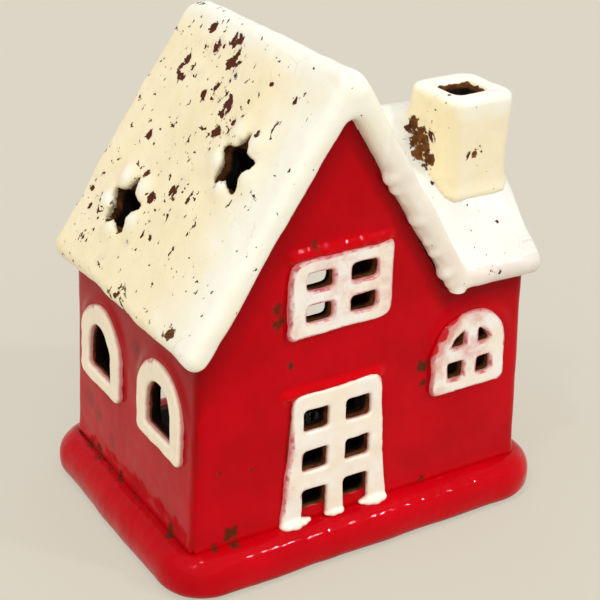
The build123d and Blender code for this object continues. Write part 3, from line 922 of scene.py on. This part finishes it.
# Painted shade: the left wall is darker, most towards its top.
on_left = points @ left_plane[0] > left_plane[1] - 1 * MM
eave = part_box("main_roof_left")[0].z
high_up = held((z - 0.35 * eave) / (0.6 * eave))
SMUDGES = (
    (-52.8, 14.5, 35.8, 4.5, 0.7), (-52.4, 22.0, 44.0, 4.0, 0.6), (-51.6, -3.0, 57.0, 5.5, 0.8),
    (-52.6, 6.0, 40.0, 4.0, 0.6), (-53.2, 28.0, 27.0, 4.0, 0.7), (-53.3, 22.0, 24.0, 3.5, 0.65),
    (-53.5, 12.0, 20.0, 3.0, 0.6),
)
smudged = wear_field(points, SMUDGES)
# The shade field holds the painted shade and the real smudges.
keep_field(walls, "shade", np.maximum.reduce([under, (0.12 + 0.38 * high_up) * on_left, smudged]))

WALL_SPOTS = (
    (-53.7, 26.0, 13.0, 2.8, 0.84), (-53.7, 20.5, 13.4, 3.4, 0.86), (-53.8, 13.0, 12.8, 2.4, 0.80),
    (-53.8, 5.5, 12.8, 2.8, 0.84), (-53.8, -4.0, 12.8, 2.4, 0.80), (-53.8, -13.0, 12.8, 2.0, 0.78),
    (-53.8, -26.0, 13.4, 3.4, 0.86), (-42.3, -37.7, 14.6, 4.8, 0.90), (-47.5, -37.7, 13.0, 2.4, 0.74),
    (-28.7, -37.7, 78.6, 3.2, 0.86), (-28.3, -37.7, 74.6, 4.0, 0.88), (-18.2, -38.9, 94.7, 3.2, 0.92),
    (-24.8, -37.7, 61.3, 2.4, 0.90), (-10.8, -37.7, 63.6, 1.6, 0.74), (-45.5, -37.7, 35.0, 2.2, 0.74),
    (-36.0, -37.7, 33.0, 2.0, 0.72), (18.3, -37.7, 56.5, 2.6, 0.84), (18.2, -37.7, 50.0, 3.8, 0.90),
    (18.6, -37.7, 44.5, 2.8, 0.86), (19.8, -37.7, 12.9, 3.2, 0.74),
)
seam_dirt = bell(z - wall_foot, 1.1 * MM) * on_left
seam_dirt *= more_at_the_back(y)
keep_field(walls, "wear", np.maximum(wear_field(points, WALL_SPOTS), seam_dirt))
dip(walls, red_glaze, wave_height=0.22 * MM, ripple_height=0.05 * MM)
hand_in(walls, "house", "red_glaze", *WALL_NODES)

# %% [markdown]
# The plinth is one thick slab with a round rim. A bevel could round it, but melting it as the walls were
# melted keeps the glaze alike. Its floor inside the house and its foot stay bare. Glaze gathers on the rim,
# so the plinth takes the wetter red, and dirt lies in the seam along the left wall. The red is also darkened
# as painted shade towards the floor, near that seam and on the left side.

# %% Plinth
PLINTH_VOXEL = 0.8 * MM
plinth = melt(copy_of("plinth", "plinth"), PLINTH_VOXEL, 4)
points = points_of(plinth.data)
x, y, z = points.T
low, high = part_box("plinth")
floor_clay = np.where(z > high.z - 2 * MM, wall_depth(points), -1 * MM)
foot_clay = np.where(z < low.z + 0.4 * MM, 4 * MM, -1 * MM)
keep_field(plinth, "clay", np.maximum(floor_clay, foot_clay))
PLINTH_SPOTS = (
    (-54.6, 25.0, 12.0, 2.8, 0.84), (-54.8, 19.0, 12.0, 3.2, 0.86), (-54.6, 11.0, 12.0, 2.2, 0.80),
    (-54.7, 4.0, 12.0, 2.8, 0.84), (-54.6, -6.0, 12.0, 2.4, 0.80), (-54.6, -26.5, 12.0, 3.4, 0.86),
    (-42.0, -38.5, 12.0, 4.4, 0.86), (-47.5, -38.5, 12.0, 2.8, 0.78),
)
keep_field(plinth, "pool", np.full(len(points), 0.25))
# Painted shade: the red darkens towards the floor, near the seam with the left wall, and a little on the left
# side.
to_floor = held(1.0 - (z - low.z) / (3.5 * MM))
off_wall = points @ left_plane[0] - left_plane[1]
seam = np.where(off_wall > -1 * MM, held(1.0 - off_wall / (3.5 * MM)), 0.0)
seam_dirt = bell(off_wall, 1.3 * MM) * (off_wall > -1 * MM) * (abs(y) < 36 * MM)
seam_dirt *= more_at_the_back(y) * (z > high.z - 2 * MM)
keep_field(plinth, "wear", np.maximum(wear_field(points, PLINTH_SPOTS), seam_dirt))
seam *= held((y + front_plane[1]) / (5 * MM) + 0.4)
on_left = held(off_wall / (2 * MM))
keep_field(plinth, "shade", np.maximum.reduce([0.55 * to_floor, 0.45 * seam, 0.14 * on_left]))
wet_coat = {"wave_height": 0.3 * MM, "ripple_height": 0.08 * MM, "ripple_size": 7 * MM}
dip(plinth, wet_red_glaze, glaze_thickness=0.0, **wet_coat)
sunk = points_of(plinth.data)
sunk[:, 2] = np.maximum(sunk[:, 2], low.z)
move_points(plinth, sunk)
hand_in(plinth, "house", "red_glaze", "plinth")

# %% [markdown]
# The roof is four slabs over two crossing ridges. Glaze hangs in drops along the right rake and fills the
# notches where the wing leaves the main roof. Four bevelled slabs would show their seams, so they are fused
# with the drops and melted.

# %% Roof
ROOF_NODES = ("main_roof_left", "main_roof_right", "wing_roof_front", "wing_roof_back")
ROOF_VOXEL = 0.70 * MM
roof = copy_of("roof", *ROOF_NODES)
rim_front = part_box("main_roof_right")[0].y
normal_right, offset_right = right_slope


def lip_at(x):
    """A point just inside the right rake's lower lip, behind the front rim."""
    z = (offset_right - roof_thick + 1.0 * MM - normal_right[0] * x) / normal_right[2]
    return (x, rim_front + 2.5 * MM, z)


lay_drops(roof, lip_at(3 * MM), lip_at(26 * MM), 12, (1.5 * MM, 2.8 * MM), 0.5 * MM, 7, cream_glaze)
wing_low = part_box("wing_roof_front")[0]
rake_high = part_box("main_roof_right")[1]
rim_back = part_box("main_roof_left")[1].y
NOTCH_BALLS = ((-0.5, 3.2, 3.0), (1.6, 3.4, 3.3), (3.6, 3.6, 3.4), (5.6, 3.8, 3.4))
for rim, side, low_at in ((rim_front, 1, wing_low.z), (rim_back, -1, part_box("wing_roof_back")[0].z)):
    notch = []
    for x, y, r in NOTCH_BALLS:
        notch.append((rake_high.x + x * MM, rim + side * y * MM, low_at + (r - 0.9) * MM, r))
    add_drops(roof, notch, MM)
melt(roof, ROOF_VOXEL, 6)
points = points_of(roof.data)

# %% [markdown]
# On the pot the upper corners of the left slab are round, and no drop hangs far below the wing's eave.
# Proportional editing could shape that. Here points beyond a round corner are pulled back to it, and those
# under the eave are pressed up, which takes no selecting by hand.

# %% Corners of the roof
normal_left, offset_left = left_slope
crown_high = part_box("main_roof_left")[1]
for rim, side, corner_round in ((rim_front, -1, 7.0 * MM), (rim_back, 1, 9.0 * MM)):
    beyond = side * (points[:, 1] - rim) + corner_round
    climb = (points[:, 2] - crown_high.z) / sin(left_pitch) + corner_round
    out = np.hypot(beyond, climb)
    corner = (beyond > 0) & (climb > 0) & (out > corner_round) & (points[:, 0] < 20 * MM)
    pull = np.where(corner, corner_round / np.maximum(out, 1e-9), 1.0)
    points[:, 1] += side * beyond * (pull - 1.0)
    points[:, 2] += climb * (pull - 1.0) * sin(left_pitch)
eave_low = wing_low.z + 0.3 * MM
tip = (points[:, 0] > 15 * MM) & (points[:, 2] < eave_low)
points[tip, 2] = eave_low + 0.25 * (points[tip, 2] - eave_low)
move_points(roof, points)
print("roof:", int(tip.sum()), "points pressed up to the eave")

# %% [markdown]
# The stars were cut through soft clay, and the glaze stands round each in five fat pillows. They could be
# modelled as balls, but the glaze must run into the slope, so the skin swells about five places round each
# star. The underside, the sides of the stars and a few chipped patches are bare clay.

# %% Stars and bare clay of the roof
facing = normals_of(roof.data)
inside = wall_depth(points)
depth = roof_depth(points)
BALD_PATCHES = (
    (30.2, -10.6, 108.8, 2.0), (29.9, -13.5, 106.2, 3.1), (30.0, -16.1, 104.0, 3.3),
    (30.4, -19.1, 101.2, 2.4), (-55.3, -28.2, 74.0, 1.7), (-54.9, -30.6, 74.9, 1.1),
)

STAR_PLACES = ((-29.9, -18.2, 112.5), (-44.5, 18.2, 90.8))
PETAL_RING = 7.6 * MM
PETAL_REACH = 4.3 * MM
PETAL_HEIGHT = 1.6 * MM
STAR_REACH = 13 * MM
STAR_WIDENING = 0.7 * MM
up_slope = np.array((cos(left_pitch), 0.0, sin(left_pitch)))
along_ridge = np.array((0.0, -1.0, 0.0))
outward = facing @ normal_left
on_slope = held((1.5 * MM - (offset_left - points @ normal_left)) / (1.5 * MM))
petals = np.zeros(len(points))
near_star = np.zeros(len(points), bool)
for star in STAR_PLACES:
    middle = np.array(star) * MM
    near_star |= away_from(points, star) < STAR_REACH
    for k in range(5):
        turn = radians(90 + 36 + 72 * k)
        petal = middle + PETAL_RING * (cos(turn) * along_ridge + sin(turn) * up_slope)
        away = np.linalg.norm(points - petal, axis=1)
        petals = np.maximum(petals, bell(away, PETAL_REACH))
petals *= on_slope
puff = PETAL_HEIGHT * petals * held(outward)
cut_back = np.where(near_star & (abs(outward) < 0.6), STAR_WIDENING, 0.0)
keep_field(roof, "swell", puff - cut_back)
glazed = (facing[:, 2] > 0.3) & ~near_star
bare = np.where(glazed, -1 * MM, np.minimum(depth, inside * 4))
keep_field(roof, "clay", np.maximum(bare, bald_patches(points, BALD_PATCHES)))
print("roof:", int(near_star.sum()), "points near the", len(STAR_PLACES), "stars")

# %% [markdown]
# The cream is thickest at the front, on the ridge and over the wing. On the face of the rake it is tinted
# pink, partly red showing through thin glaze and partly painted shade. Pits lie thick on the upper left
# slope.
# Noise alone would strew them evenly, so the main ones are placed, and a ground of wear sets how many the
# pattern adds between them.

# %% Glaze of the roof
x, y, z = points.T
front_share = held((-y - 8 * MM) / (30 * MM))
ridge_share = held(1.0 - (crown_high.z - z) / (9 * MM))
right_share = held((x - ridge_x) / (14 * MM))
past_rake = held(-depth_under(points, right_slope) / (9 * MM))
wing_share = 0.8 * right_share + 0.45 * past_rake * right_share
# Partly painted shade: the rake's front face is tinted pink, most towards its low end.
rake_face = (y < rim_front + 1.5 * MM) & (x > 0)
rake_low = held((crown_high.z - z) / (45 * MM))
keep_field(roof, "blush_and_shade", rake_face * (0.15 + 0.55 * rake_low))
shares = [0.75 * front_share, 0.92 * ridge_share, wing_share, 0.6 * petals]
keep_field(roof, "thick", np.maximum.reduce(shares))

ROOF_SPOTS = (
    (-15.8, 19.9, 133.1, 10, 1.1), (-17.6, 13.5, 130.5, 9, 1.1), (-19.0, 8.0, 128.5, 12, 1.0),
    (-23.0, 1.0, 122.0, 12, 1.1), (-22.0, 23.5, 124.0, 10, 1.1), (-26.5, -4.0, 117.0, 9, 1.1),
    (-33.8, 24.1, 106.2, 10, 0.8), (-38.1, -1.2, 99.8, 13, 0.8), (-38.8, 14.2, 98.8, 12, 0.75),
    (-55.3, -28.9, 74.2, 5.5, 0.9), (-46.9, 27.9, 86.6, 11, 0.85), (-46.2, 36.9, 87.8, 9, 0.85),
    (-54.4, 14.2, 75.5, 10, 0.8), (-56.4, -2.7, 72.6, 10, 0.8), (-19.0, -28.8, 128.4, 7, 0.6),
    (29.5, -13.0, 106.0, 7, 1.0), (38.0, -43.0, 75.4, 4.5, 0.95), (29.5, -21.9, 96.7, 0.9, 2.0),
    (40.3, -29.7, 89.1, 1.0, 2.0), (33.9, -36.6, 82.5, 1.0, 2.0), (44.4, -32.5, 86.4, 0.8, 2.0),
    (36.5, -43.6, 76.0, 1.6, 2.2), (35.2, -43.9, 75.2, 1.8, 2.2), (30.5, -44.0, 75.0, 1.3, 2.2),
    (41.5, -44.0, 75.2, 1.3, 2.2),
)
SLOPE_PITS = (
    (22.8, 134.4, 1.6), (16.5, 131.1, 1.9), (13.0, 131.6, 1.1), (9.7, 134.0, 2.2), (7.7, 135.0, 1.2),
    (6.1, 129.9, 2.6), (1.8, 127.6, 1.0), (25.3, 124.7, 2.0), (23.2, 121.4, 1.0), (19.1, 122.9, 0.8),
    (7.8, 123.5, 1.5), (11.2, 120.7, 1.0), (-2.0, 121.2, 2.6), (-1.7, 119.0, 1.2), (-11.1, 121.0, 1.2),
    (-3.0, 115.3, 1.7), (-8.6, 118.7, 0.8), (-15.4, 129.6, 0.8), (-27.1, 128.6, 0.8), (-21.7, 119.4, 1.0),
    (24.8, 106.3, 1.2), (32.3, 114.7, 0.8), (15.9, 98.9, 1.4), (-0.6, 99.0, 1.8), (7.7, 95.1, 1.4),
    (-0.6, 87.7, 0.8), (7.7, 83.6, 0.9), (37.0, 88.0, 1.0), (40.7, 84.5, 0.9), (33.2, 84.7, 0.9),
    (-11.9, 70.4, 0.9), (1.8, 71.9, 0.9),
)


def on_left_slope(y, z):
    """Where a point of this y and z lies on the left slope, in millimetres."""
    return ((normal_left[2] * z - offset_left / MM) / -normal_left[0], y, z)


pits = [(*on_left_slope(y, z), 1.7 * radius, 2.2) for y, z, radius in SLOPE_PITS]
back_share = held((y + 30 * MM) / (50 * MM))
ground = np.where(x > ridge_x, 0.06, 0.34 + 0.20 * back_share)
keep_field(roof, "wear", np.maximum(wear_field(points, [*ROOF_SPOTS, *pits]), ground))
thick_coat = {"wave_height": 0.55 * MM, "wave_size": 22 * MM, "ripple_height": 0.15 * MM}
dip(roof, cream_glaze, ripple_size=7 * MM, pit_depth=0.25 * MM, **thick_coat)
hand_in(roof, "house", "cream_glaze", *ROOF_NODES)

# %% [markdown]
# The chimney is a square pot, luted to the slope. Its glaze stops inside the flue, crawled off its left
# foot and flares out where it meets the roof. It could be fused with the roof, but then its seam would be
# lost, so it is a piece of its own with a swell at its foot.

# %% Chimney
CHIMNEY_VOXEL = 0.5 * MM
CHIMNEY_FOOT = 1.5 * MM
chimney = melt(copy_of("chimney", "chimney"), CHIMNEY_VOXEL, 6)
points = points_of(chimney.data)
x, y, z = points.T
low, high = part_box("chimney")
centre = (low + high) / 2
across = np.maximum(abs(x - centre.x), abs(y - centre.y))
flue_half = 5.25 * MM
in_flue = np.minimum(3 * (flue_half + 1.3 * MM - across), 1.7 * (high.z - z - 0.4 * MM))
CHIMNEY_BALD = (
    (31.0, -10.8, 110.6, 1.9), (31.0, -13.4, 107.8, 2.8), (31.0, -16.0, 105.0, 2.8),
    (31.2, -18.8, 102.2, 2.0), (39.8, -26.6, 106.4, 0.9), (39.5, -26.6, 104.8, 0.8),
)
keep_field(chimney, "clay", np.maximum(in_flue, bald_patches(points, CHIMNEY_BALD)))
rim_share = held(1.0 - (high.z - z) / (7 * MM))
# Painted shade: the left face gets thinner, darker cream.
shaded_left_face = held(-normals_of(chimney.data)[:, 0])
keep_field(chimney, "thick", 0.35 + 0.65 * rim_share - 0.6 * shaded_left_face)
keep_field(chimney, "blush_and_shade", np.zeros(len(points)))
CHIMNEY_SPOTS = (
    (30.8, -13.8, 108.0, 8, 1.1),
    (39.8, -26.8, 104.5, 4.5, 0.95),
    (30.8, -18.8, 120.0, 6.5, 0.9),
)
keep_field(chimney, "wear", np.maximum(wear_field(points, CHIMNEY_SPOTS), 0.02))
normal_wing, offset_wing = wing_front_slope
foot = np.exp(-np.maximum(points @ normal_wing - offset_wing, 0.0) / (1.6 * MM))
keep_field(chimney, "swell", CHIMNEY_FOOT * foot * (across > flue_half + 1.5 * MM))
pot_coat = {"wave_height": 0.30 * MM, "wave_size": 16 * MM, "ripple_height": 0.08 * MM}
dip(chimney, cream_glaze, pit_depth=0.2 * MM, **pot_coat)
hand_in(chimney, "house", "cream_glaze", "chimney")

# %% [markdown]
# The frames are thin slabs that a potter pressed on by hand, so none is quite square. They could be bent
# with a lattice each. A few soft pushes, in shares of a frame's width and height, do the same for all five,
# and stains are placed in the same shares.

# %% Frame helpers
def sink(made, plane, reach):
    """Push the back of a slab through the plane it stands on, so that no gap shows."""
    normal, offset = plane
    points = points_of(made.data)
    above = points @ normal - offset
    move_points(made, points - np.where(above < 0.05 * MM, reach, 0.0)[:, None] * normal)


def bell_on(points, sheet, across, up, reach):
    """A bell about a place on a frame's sheet, which is its lower left corner, its way right and its size."""
    corner, right, size = sheet
    place = corner + across * size[0] * right + np.array((0, 0, up * size[1]))
    return bell(np.linalg.norm(points - place, axis=1), reach * MM)


def nudge(made, sheet, pushes):
    """Push a melted frame about, by (across, up, shift to the right, shift up, reach)."""
    points = points_of(made.data)
    for across, up, shift_right, shift_up, reach in pushes:
        shift = MM * (shift_right * sheet[1] + np.array((0, 0, shift_up)))
        points += bell_on(points, sheet, across, up, reach)[:, None] * shift
    move_points(made, points)


def stains_on(points, sheet, stains):
    """How much cream is brushed away, from spots given as (across, up, reach, strength)."""
    lost = np.zeros(len(points))
    for across, up, reach, strength in stains:
        lost = np.maximum(lost, strength * MM * bell_on(points, sheet, across, up, reach))
    return lost


def inset_of(points, name, sheet):
    """How far points lie inside a frame's outline. The door has no sill, and some heads are round."""
    corner, right, size = sheet
    across = (points - corner) @ right
    up = points[:, 2] - corner[2]
    inset = np.minimum(across, size[0] - across)
    if name == "door_frame":
        return np.minimum(inset, size[1] - up)
    if name == "gable_window_frame":
        return np.minimum(inset, np.minimum(up, size[1] - up))
    radius = size[0] / 2
    head = radius - np.hypot(across - radius, np.maximum(up - size[1] + radius, 0.0))
    return np.minimum(head, up)


print("helpers to bend and stain frames ready")

# %% [markdown]
# Each frame has its plane, the share of pink all over it, its pushes and its stains. A copy of the slab is
# sunk a little into its wall and melted finely, which keeps its bars. The door's stiles end in drops of
# glaze on the plinth. One loop makes all five, because they differ in numbers only.

# %% Frames
FRAME_VOXEL = 0.34 * MM
FRAMES = {
    "gable_window_frame": (
        front_plane,
        0.22,
        (
            (0, 1, 0.9, -0.9, 4.0),
            (1, 1, 0.1, 1.2, 2.6),
            (0, 0, -0.8, -0.7, 2.8),
            (1, 0, -0.4, 0.7, 3.6),
            (0.6, 0, 0, 0.4, 5),
        ),
        ((1, 0.5, 11, 0.4), (0.5, 0.5, 8, 0.3), (0.4, 1, 9, 0.35), (0, 0.1, 5, 0.3)),
    ),
    "door_frame": (
        front_plane,
        0.0,
        ((0, 1, 0.6, -0.7, 3.4), (0.75, 1, 0, 0.6, 4.5), (0.05, 0.35, -0.4, 0, 6), (1, 0.6, 0.3, 0, 5)),
        ((0, 0.6, 6, 0.7), (0, 0.3, 6, 0.6), (1, 1, 4, 0.5)),
    ),
    "arched_window_frame": (
        front_plane,
        0.20,
        ((0, 0, -0.9, -0.3, 4.5), (0, 0.48, -0.8, 0, 4.5), (1, 0.5, -0.8, 0, 8), (0.12, 0.82, -0.5, 0.4, 4)),
        (
            (0.0, 0.62, 3.2, 1.6),
            (0.08, 0.8, 3.2, 2.4),
            (0.2, 0.95, 3.2, 1.9),
            (0, 0.4, 5, 0.7),
            (0.5, 1, 7, 0.5),
            (0.5, 0.5, 6, 0.5),
            (0, 0, 5, 0.5),
        ),
    ),
    "left_window_frame_front": (
        left_plane,
        0.0,
        ((0.3, 1, 0, 0.4, 5), (1, 0, 0.2, -0.4, 4)),
        ((0.2, 1, 4, 0.6),),
    ),
    "left_window_frame_back": (
        left_plane,
        0.0,
        ((0.6, 1, 0, 0.3, 5), (0, 0, 0.3, 0.3, 4)),
        ((0.2, 1, 4, 0.6),),
    ),
}
DOOR_FEET = (
    (2.2, 1.25), (4.4, 1.35), (7.0, 0.95), (8.8, 0.55), (15.2, 0.6), (16.8, 1.0), (18.6, 0.9),
    (26.6, 0.7), (28.4, 1.15), (30.6, 1.35), (32.6, 1.15),
)
DOOR_DROP = 1.9 * MM
thin_coat = {"wave_height": 0.22 * MM, "wave_size": 9 * MM, "ripple_height": 0.06 * MM}
for name, (plane, tint, pushes, stains) in FRAMES.items():
    made = copy_of(name, name)
    sink(made, plane, 1.0 * MM)
    low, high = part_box(name)
    on_front = plane is front_plane
    right = np.array((1.0, 0, 0) if on_front else (0, -1.0, 0))
    corner = np.array((low.x, low.y, low.z) if on_front else (low.x, high.y, low.z))
    size = (high.x - low.x if on_front else high.y - low.y, high.z - low.z)
    sheet = (corner, right, size)
    if name == "door_frame":
        feet = [(low.x + x * MM, low.y + 0.6 * MM, low.z + 0.5 * MM, share) for x, share in DOOR_FEET]
        add_drops(made, feet, DOOR_DROP)
    melt(made, FRAME_VOXEL, 9)
    nudge(made, sheet, pushes)
    points = points_of(made.data)
    normal, offset = plane
    relief = points @ normal - offset
    keep_field(made, "relief", relief)
    in_pane = inset_of(points, name, sheet) > 2.2 * MM
    keep_field(made, "clay", np.where(in_pane, (0.7 if on_front else 0.2) * MM - relief, -relief))
    keep_field(made, "swell", np.zeros(len(points)))
    warmth = 0.25 * (name == "door_frame") if on_front else 0.9
    keep_field(made, "warm", np.full(len(points), warmth))
    keep_field(made, "wear", tint * MM + stains_on(points, sheet, stains))
    dip(made, frame_glaze, ripple_size=3.5 * MM, glaze_thickness=0.05 * MM, **thin_coat)
    hand_in(made, "house", "cream_glaze", name)

# %% [markdown]
# The tealight is a drawn aluminium cup of wax, with a cotton wick in a tinned disc. It stands in the dark,
# so its four finishes can be simple: one function gives each a grain that varies its tone, its roughness
# and its bumps.

# %% Tealight finishes
def plain_finish(name, tones, grain_look, rough, bump, metal=0.0):
    """A finish with one grain, given as (size, detail) or (size, detail, roughness)."""
    made, tree, shader, place = new_finish(name)
    grain = noise(tree, place, *grain_look)
    colour = blend_colours(tree, grain, *tones)
    shader.inputs["Metallic"].default_value = metal
    feed_shader(tree, shader, colour, ramp(tree, grain, 0.3, 0.7, *rough), grain, bump)
    print(name, len(tree.nodes), "nodes")
    return made


ALUMINIUM = ((0.70, 0.70, 0.71, 1.0), (0.86, 0.86, 0.86, 1.0))
WAX = ((0.90, 0.87, 0.80, 1.0), (0.95, 0.93, 0.88, 1.0))
COTTON = ((0.62, 0.56, 0.44, 1.0), (0.88, 0.84, 0.74, 1.0))
TIN = ((0.55, 0.55, 0.55, 1.0), (0.70, 0.70, 0.69, 1.0))
cup_aluminium = plain_finish("cup_aluminium", ALUMINIUM, (2.0 * MM, 4.0, 0.7), (0.22, 0.38), 0.03 * MM, 1.0)
wax_finish = plain_finish("wax", WAX, (5.0 * MM, 3.0), (0.35, 0.5), 0.2 * MM)
wick_cotton = plain_finish("wick_cotton", COTTON, (0.4 * MM, 3.0), (0.7, 0.9), 0.1 * MM)
tinned_steel = plain_finish("tinned_steel", TIN, (1.2 * MM, 4.0), (0.35, 0.5), 0.02 * MM, 1.0)

# %% [markdown]
# Cup, wax, disc and wick are all rings of points, one after the other, with faces between them. A Screw
# modifier could turn the first three, but it can't press flutes, so rings are built and skinned directly.
# The profiles take their sizes from the frame.

# %% Turned shapes
def skin_rings(name, rings, finish):
    """A closed shape over rings of points. A ring may be a single point on the axis."""
    shape = bmesh.new()
    rows = [[shape.verts.new(point) for point in ring] for ring in rings]
    sides = max(len(row) for row in rows)
    for first, second in zip(rows, rows[1:]):
        for k in range(sides):
            n = k + 1
            corners = [row[i % len(row)] for row, i in ((first, k), (first, n), (second, n), (second, k))]
            shape.faces.new(list(dict.fromkeys(corners)))
    for row in (rows[0], rows[-1]):
        if len(row) > 1:
            shape.faces.new(row)
    bmesh.ops.recalc_face_normals(shape, faces=shape.faces)
    mesh = bpy.data.meshes.new(name)
    shape.to_mesh(mesh)
    shape.free()
    mesh.shade_smooth()
    mesh.materials.append(finish)
    return add_object(name, mesh)


def turned(profile, axis, sides=192, flutes=0):
    """Rings about an upright axis, from (radius, height) or (radius, height, depth of the flutes)."""
    rings = []
    for radius, height, *depth in profile:
        ring = []
        for k in range(sides if radius > 0 else 1):
            angle = 2 * pi * k / sides
            wide = radius + sum(depth) * cos(flutes * angle)
            ring.append((axis.x + wide * cos(angle), axis.y + wide * sin(angle), height))
        rings.append(ring)
    return rings


def arc(radius, height, round_by, turns):
    """Points of a profile round a centre, at turns in degrees."""
    return [(radius + round_by * cos(radians(t)), height + round_by * sin(radians(t))) for t in turns]


print("helpers for turned shapes ready")

# %% [markdown]
# The cup is drawn from foil: a floor with a rounded foot, a fluted wall that is plain at both ends, and a
# rolled bead on top. Its profile goes up the outside, over the bead and down the inside.

# %% Tealight cup
BEAD = 0.6 * MM
FOIL = 0.4 * MM
FLUTES = 48
FLUTE_DEPTH = 0.16 * MM


def fluted(radius, start, end):
    """A stretch of the wall from height to height. Its flutes fade at both ends."""
    stretch = []
    for k in range(11):
        share = k / 10
        depth = FLUTE_DEPTH * min(1.0, 5 * share, 5 * (1 - share))
        stretch.append((radius - FLUTE_DEPTH, start + share * (end - start), depth))
    return stretch


low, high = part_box("tealight_cup")
axis = (low + high) / 2
outer = (high.x - low.x) / 2 - BEAD
inner = outer - FOIL
rise_from = low.z + 1.6 * MM
rise_to = high.z - 1.8 * MM
cup_profile = [
    (0.0, low.z + 0.15 * MM),
    (outer - 3 * MM, low.z + 0.15 * MM),
    (outer - 2.2 * MM, low.z),
    (outer - 1.0 * MM, low.z),
    (outer - 0.3 * MM, low.z + 0.3 * MM),
    (outer, low.z + 1.0 * MM),
    *fluted(outer, rise_from, rise_to),
    *arc(outer, high.z - BEAD, BEAD, (-60, -20, 20, 60, 100, 140, 180)),
    *fluted(inner, rise_to, rise_from),
    (inner, low.z + 1.0 * MM),
    (inner - 0.5 * MM, low.z + FOIL),
    (0.0, low.z + FOIL),
]
cup = skin_rings("tealight_cup", turned(cup_profile, axis, sides=384, flutes=FLUTES), cup_aluminium)
hand_in(cup, "tealight", "cup_aluminium", "tealight_cup")

# %% [markdown]
# Wax shrinks as it sets, so its top sags in a ring between the rim and the wick. The disc under it holds
# the wick in a short collar. Both are turned from a profile, as they would be on a lathe.

# %% Wax and disc
WAX_ROUND = 0.9 * MM
WAX_SAG = 0.7 * MM
low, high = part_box("tealight_wax")
radius = (high.x - low.x) / 2 - 0.1 * MM
wax_profile = [
    (0.0, low.z),
    (radius - 0.6 * MM, low.z),
    (radius, low.z + 0.6 * MM),
    (radius, high.z - WAX_ROUND),
    *arc(radius - WAX_ROUND, high.z - WAX_ROUND, WAX_ROUND, (20, 45, 70)),
]
for k in range(1, 12):
    share = 1 - k / 12
    sag = WAX_SAG * sin(pi * share) ** 2 if share > 0.1 else 0.0
    wax_profile.append((share * (radius - WAX_ROUND), high.z - sag))
wax_profile.append((0.0, high.z + 0.1 * MM))
wax = skin_rings("tealight_wax", turned(wax_profile, axis), wax_finish)
hand_in(wax, "candle", "wax", "tealight_wax")

low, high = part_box("wick_sustainer")
radius = (high.x - low.x) / 2
disc_top = low.z + 0.4 * MM
disc_profile = [
    (0.0, low.z),
    (radius - 0.1 * MM, low.z),
    (radius, low.z + 0.2 * MM),
    (radius - 0.1 * MM, disc_top),
    (2.2 * MM, disc_top),
    (1.6 * MM, low.z + 0.7 * MM),
    (1.5 * MM, high.z - 0.2 * MM),
    (1.3 * MM, high.z),
    (0.85 * MM, high.z - 0.1 * MM),
    (0.8 * MM, disc_top),
    (0.0, disc_top),
]
disc = skin_rings("wick_sustainer", turned(disc_profile, axis, sides=64), tinned_steel)
hand_in(disc, "candle", "tinned_steel", "wick_sustainer")

# %% [markdown]
# The wick is a twisted cotton cord that stands upright and bends over at its tip. A curve with a bevel
# would give a smooth rod. Rings with three lobes that turn as they climb give the twist.

# %% Wick
WICK_RADIUS = 0.62 * MM
WICK_BEND = 9.0 * MM
WICK_TURN = radians(25.0)
STRANDS = 3
STRAND_RELIEF = 0.14
TWIST = 0.55 * MM
RINGS_UP = 60
SIDES_ROUND = 18
low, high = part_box("tealight_wick")
straight = high.z - low.z - WICK_BEND * sin(WICK_TURN)
reach = straight + WICK_BEND * WICK_TURN
side = 1.0 if high.x - axis.x > axis.x - low.x else -1.0
rings = []
for i in range(RINGS_UP + 1):
    run = reach * i / RINGS_UP
    turn = max(0.0, run - straight) / WICK_BEND
    x = axis.x + side * WICK_BEND * (1 - cos(turn))
    z = low.z + min(run, straight) + WICK_BEND * sin(turn)
    ring = []
    for k in range(SIDES_ROUND):
        angle = 2 * pi * k / SIDES_ROUND
        wide = WICK_RADIUS * (1 + STRAND_RELIEF * cos(STRANDS * angle + run / TWIST))
        flat = side * wide * cos(angle)
        ring.append((x + flat * cos(turn), axis.y + wide * sin(angle), z - side * flat * sin(turn)))
    rings.append(ring)
wick = skin_rings("tealight_wick", rings, wick_cotton)
hand_in(wick, "candle", "wick_cotton", "tealight_wick")
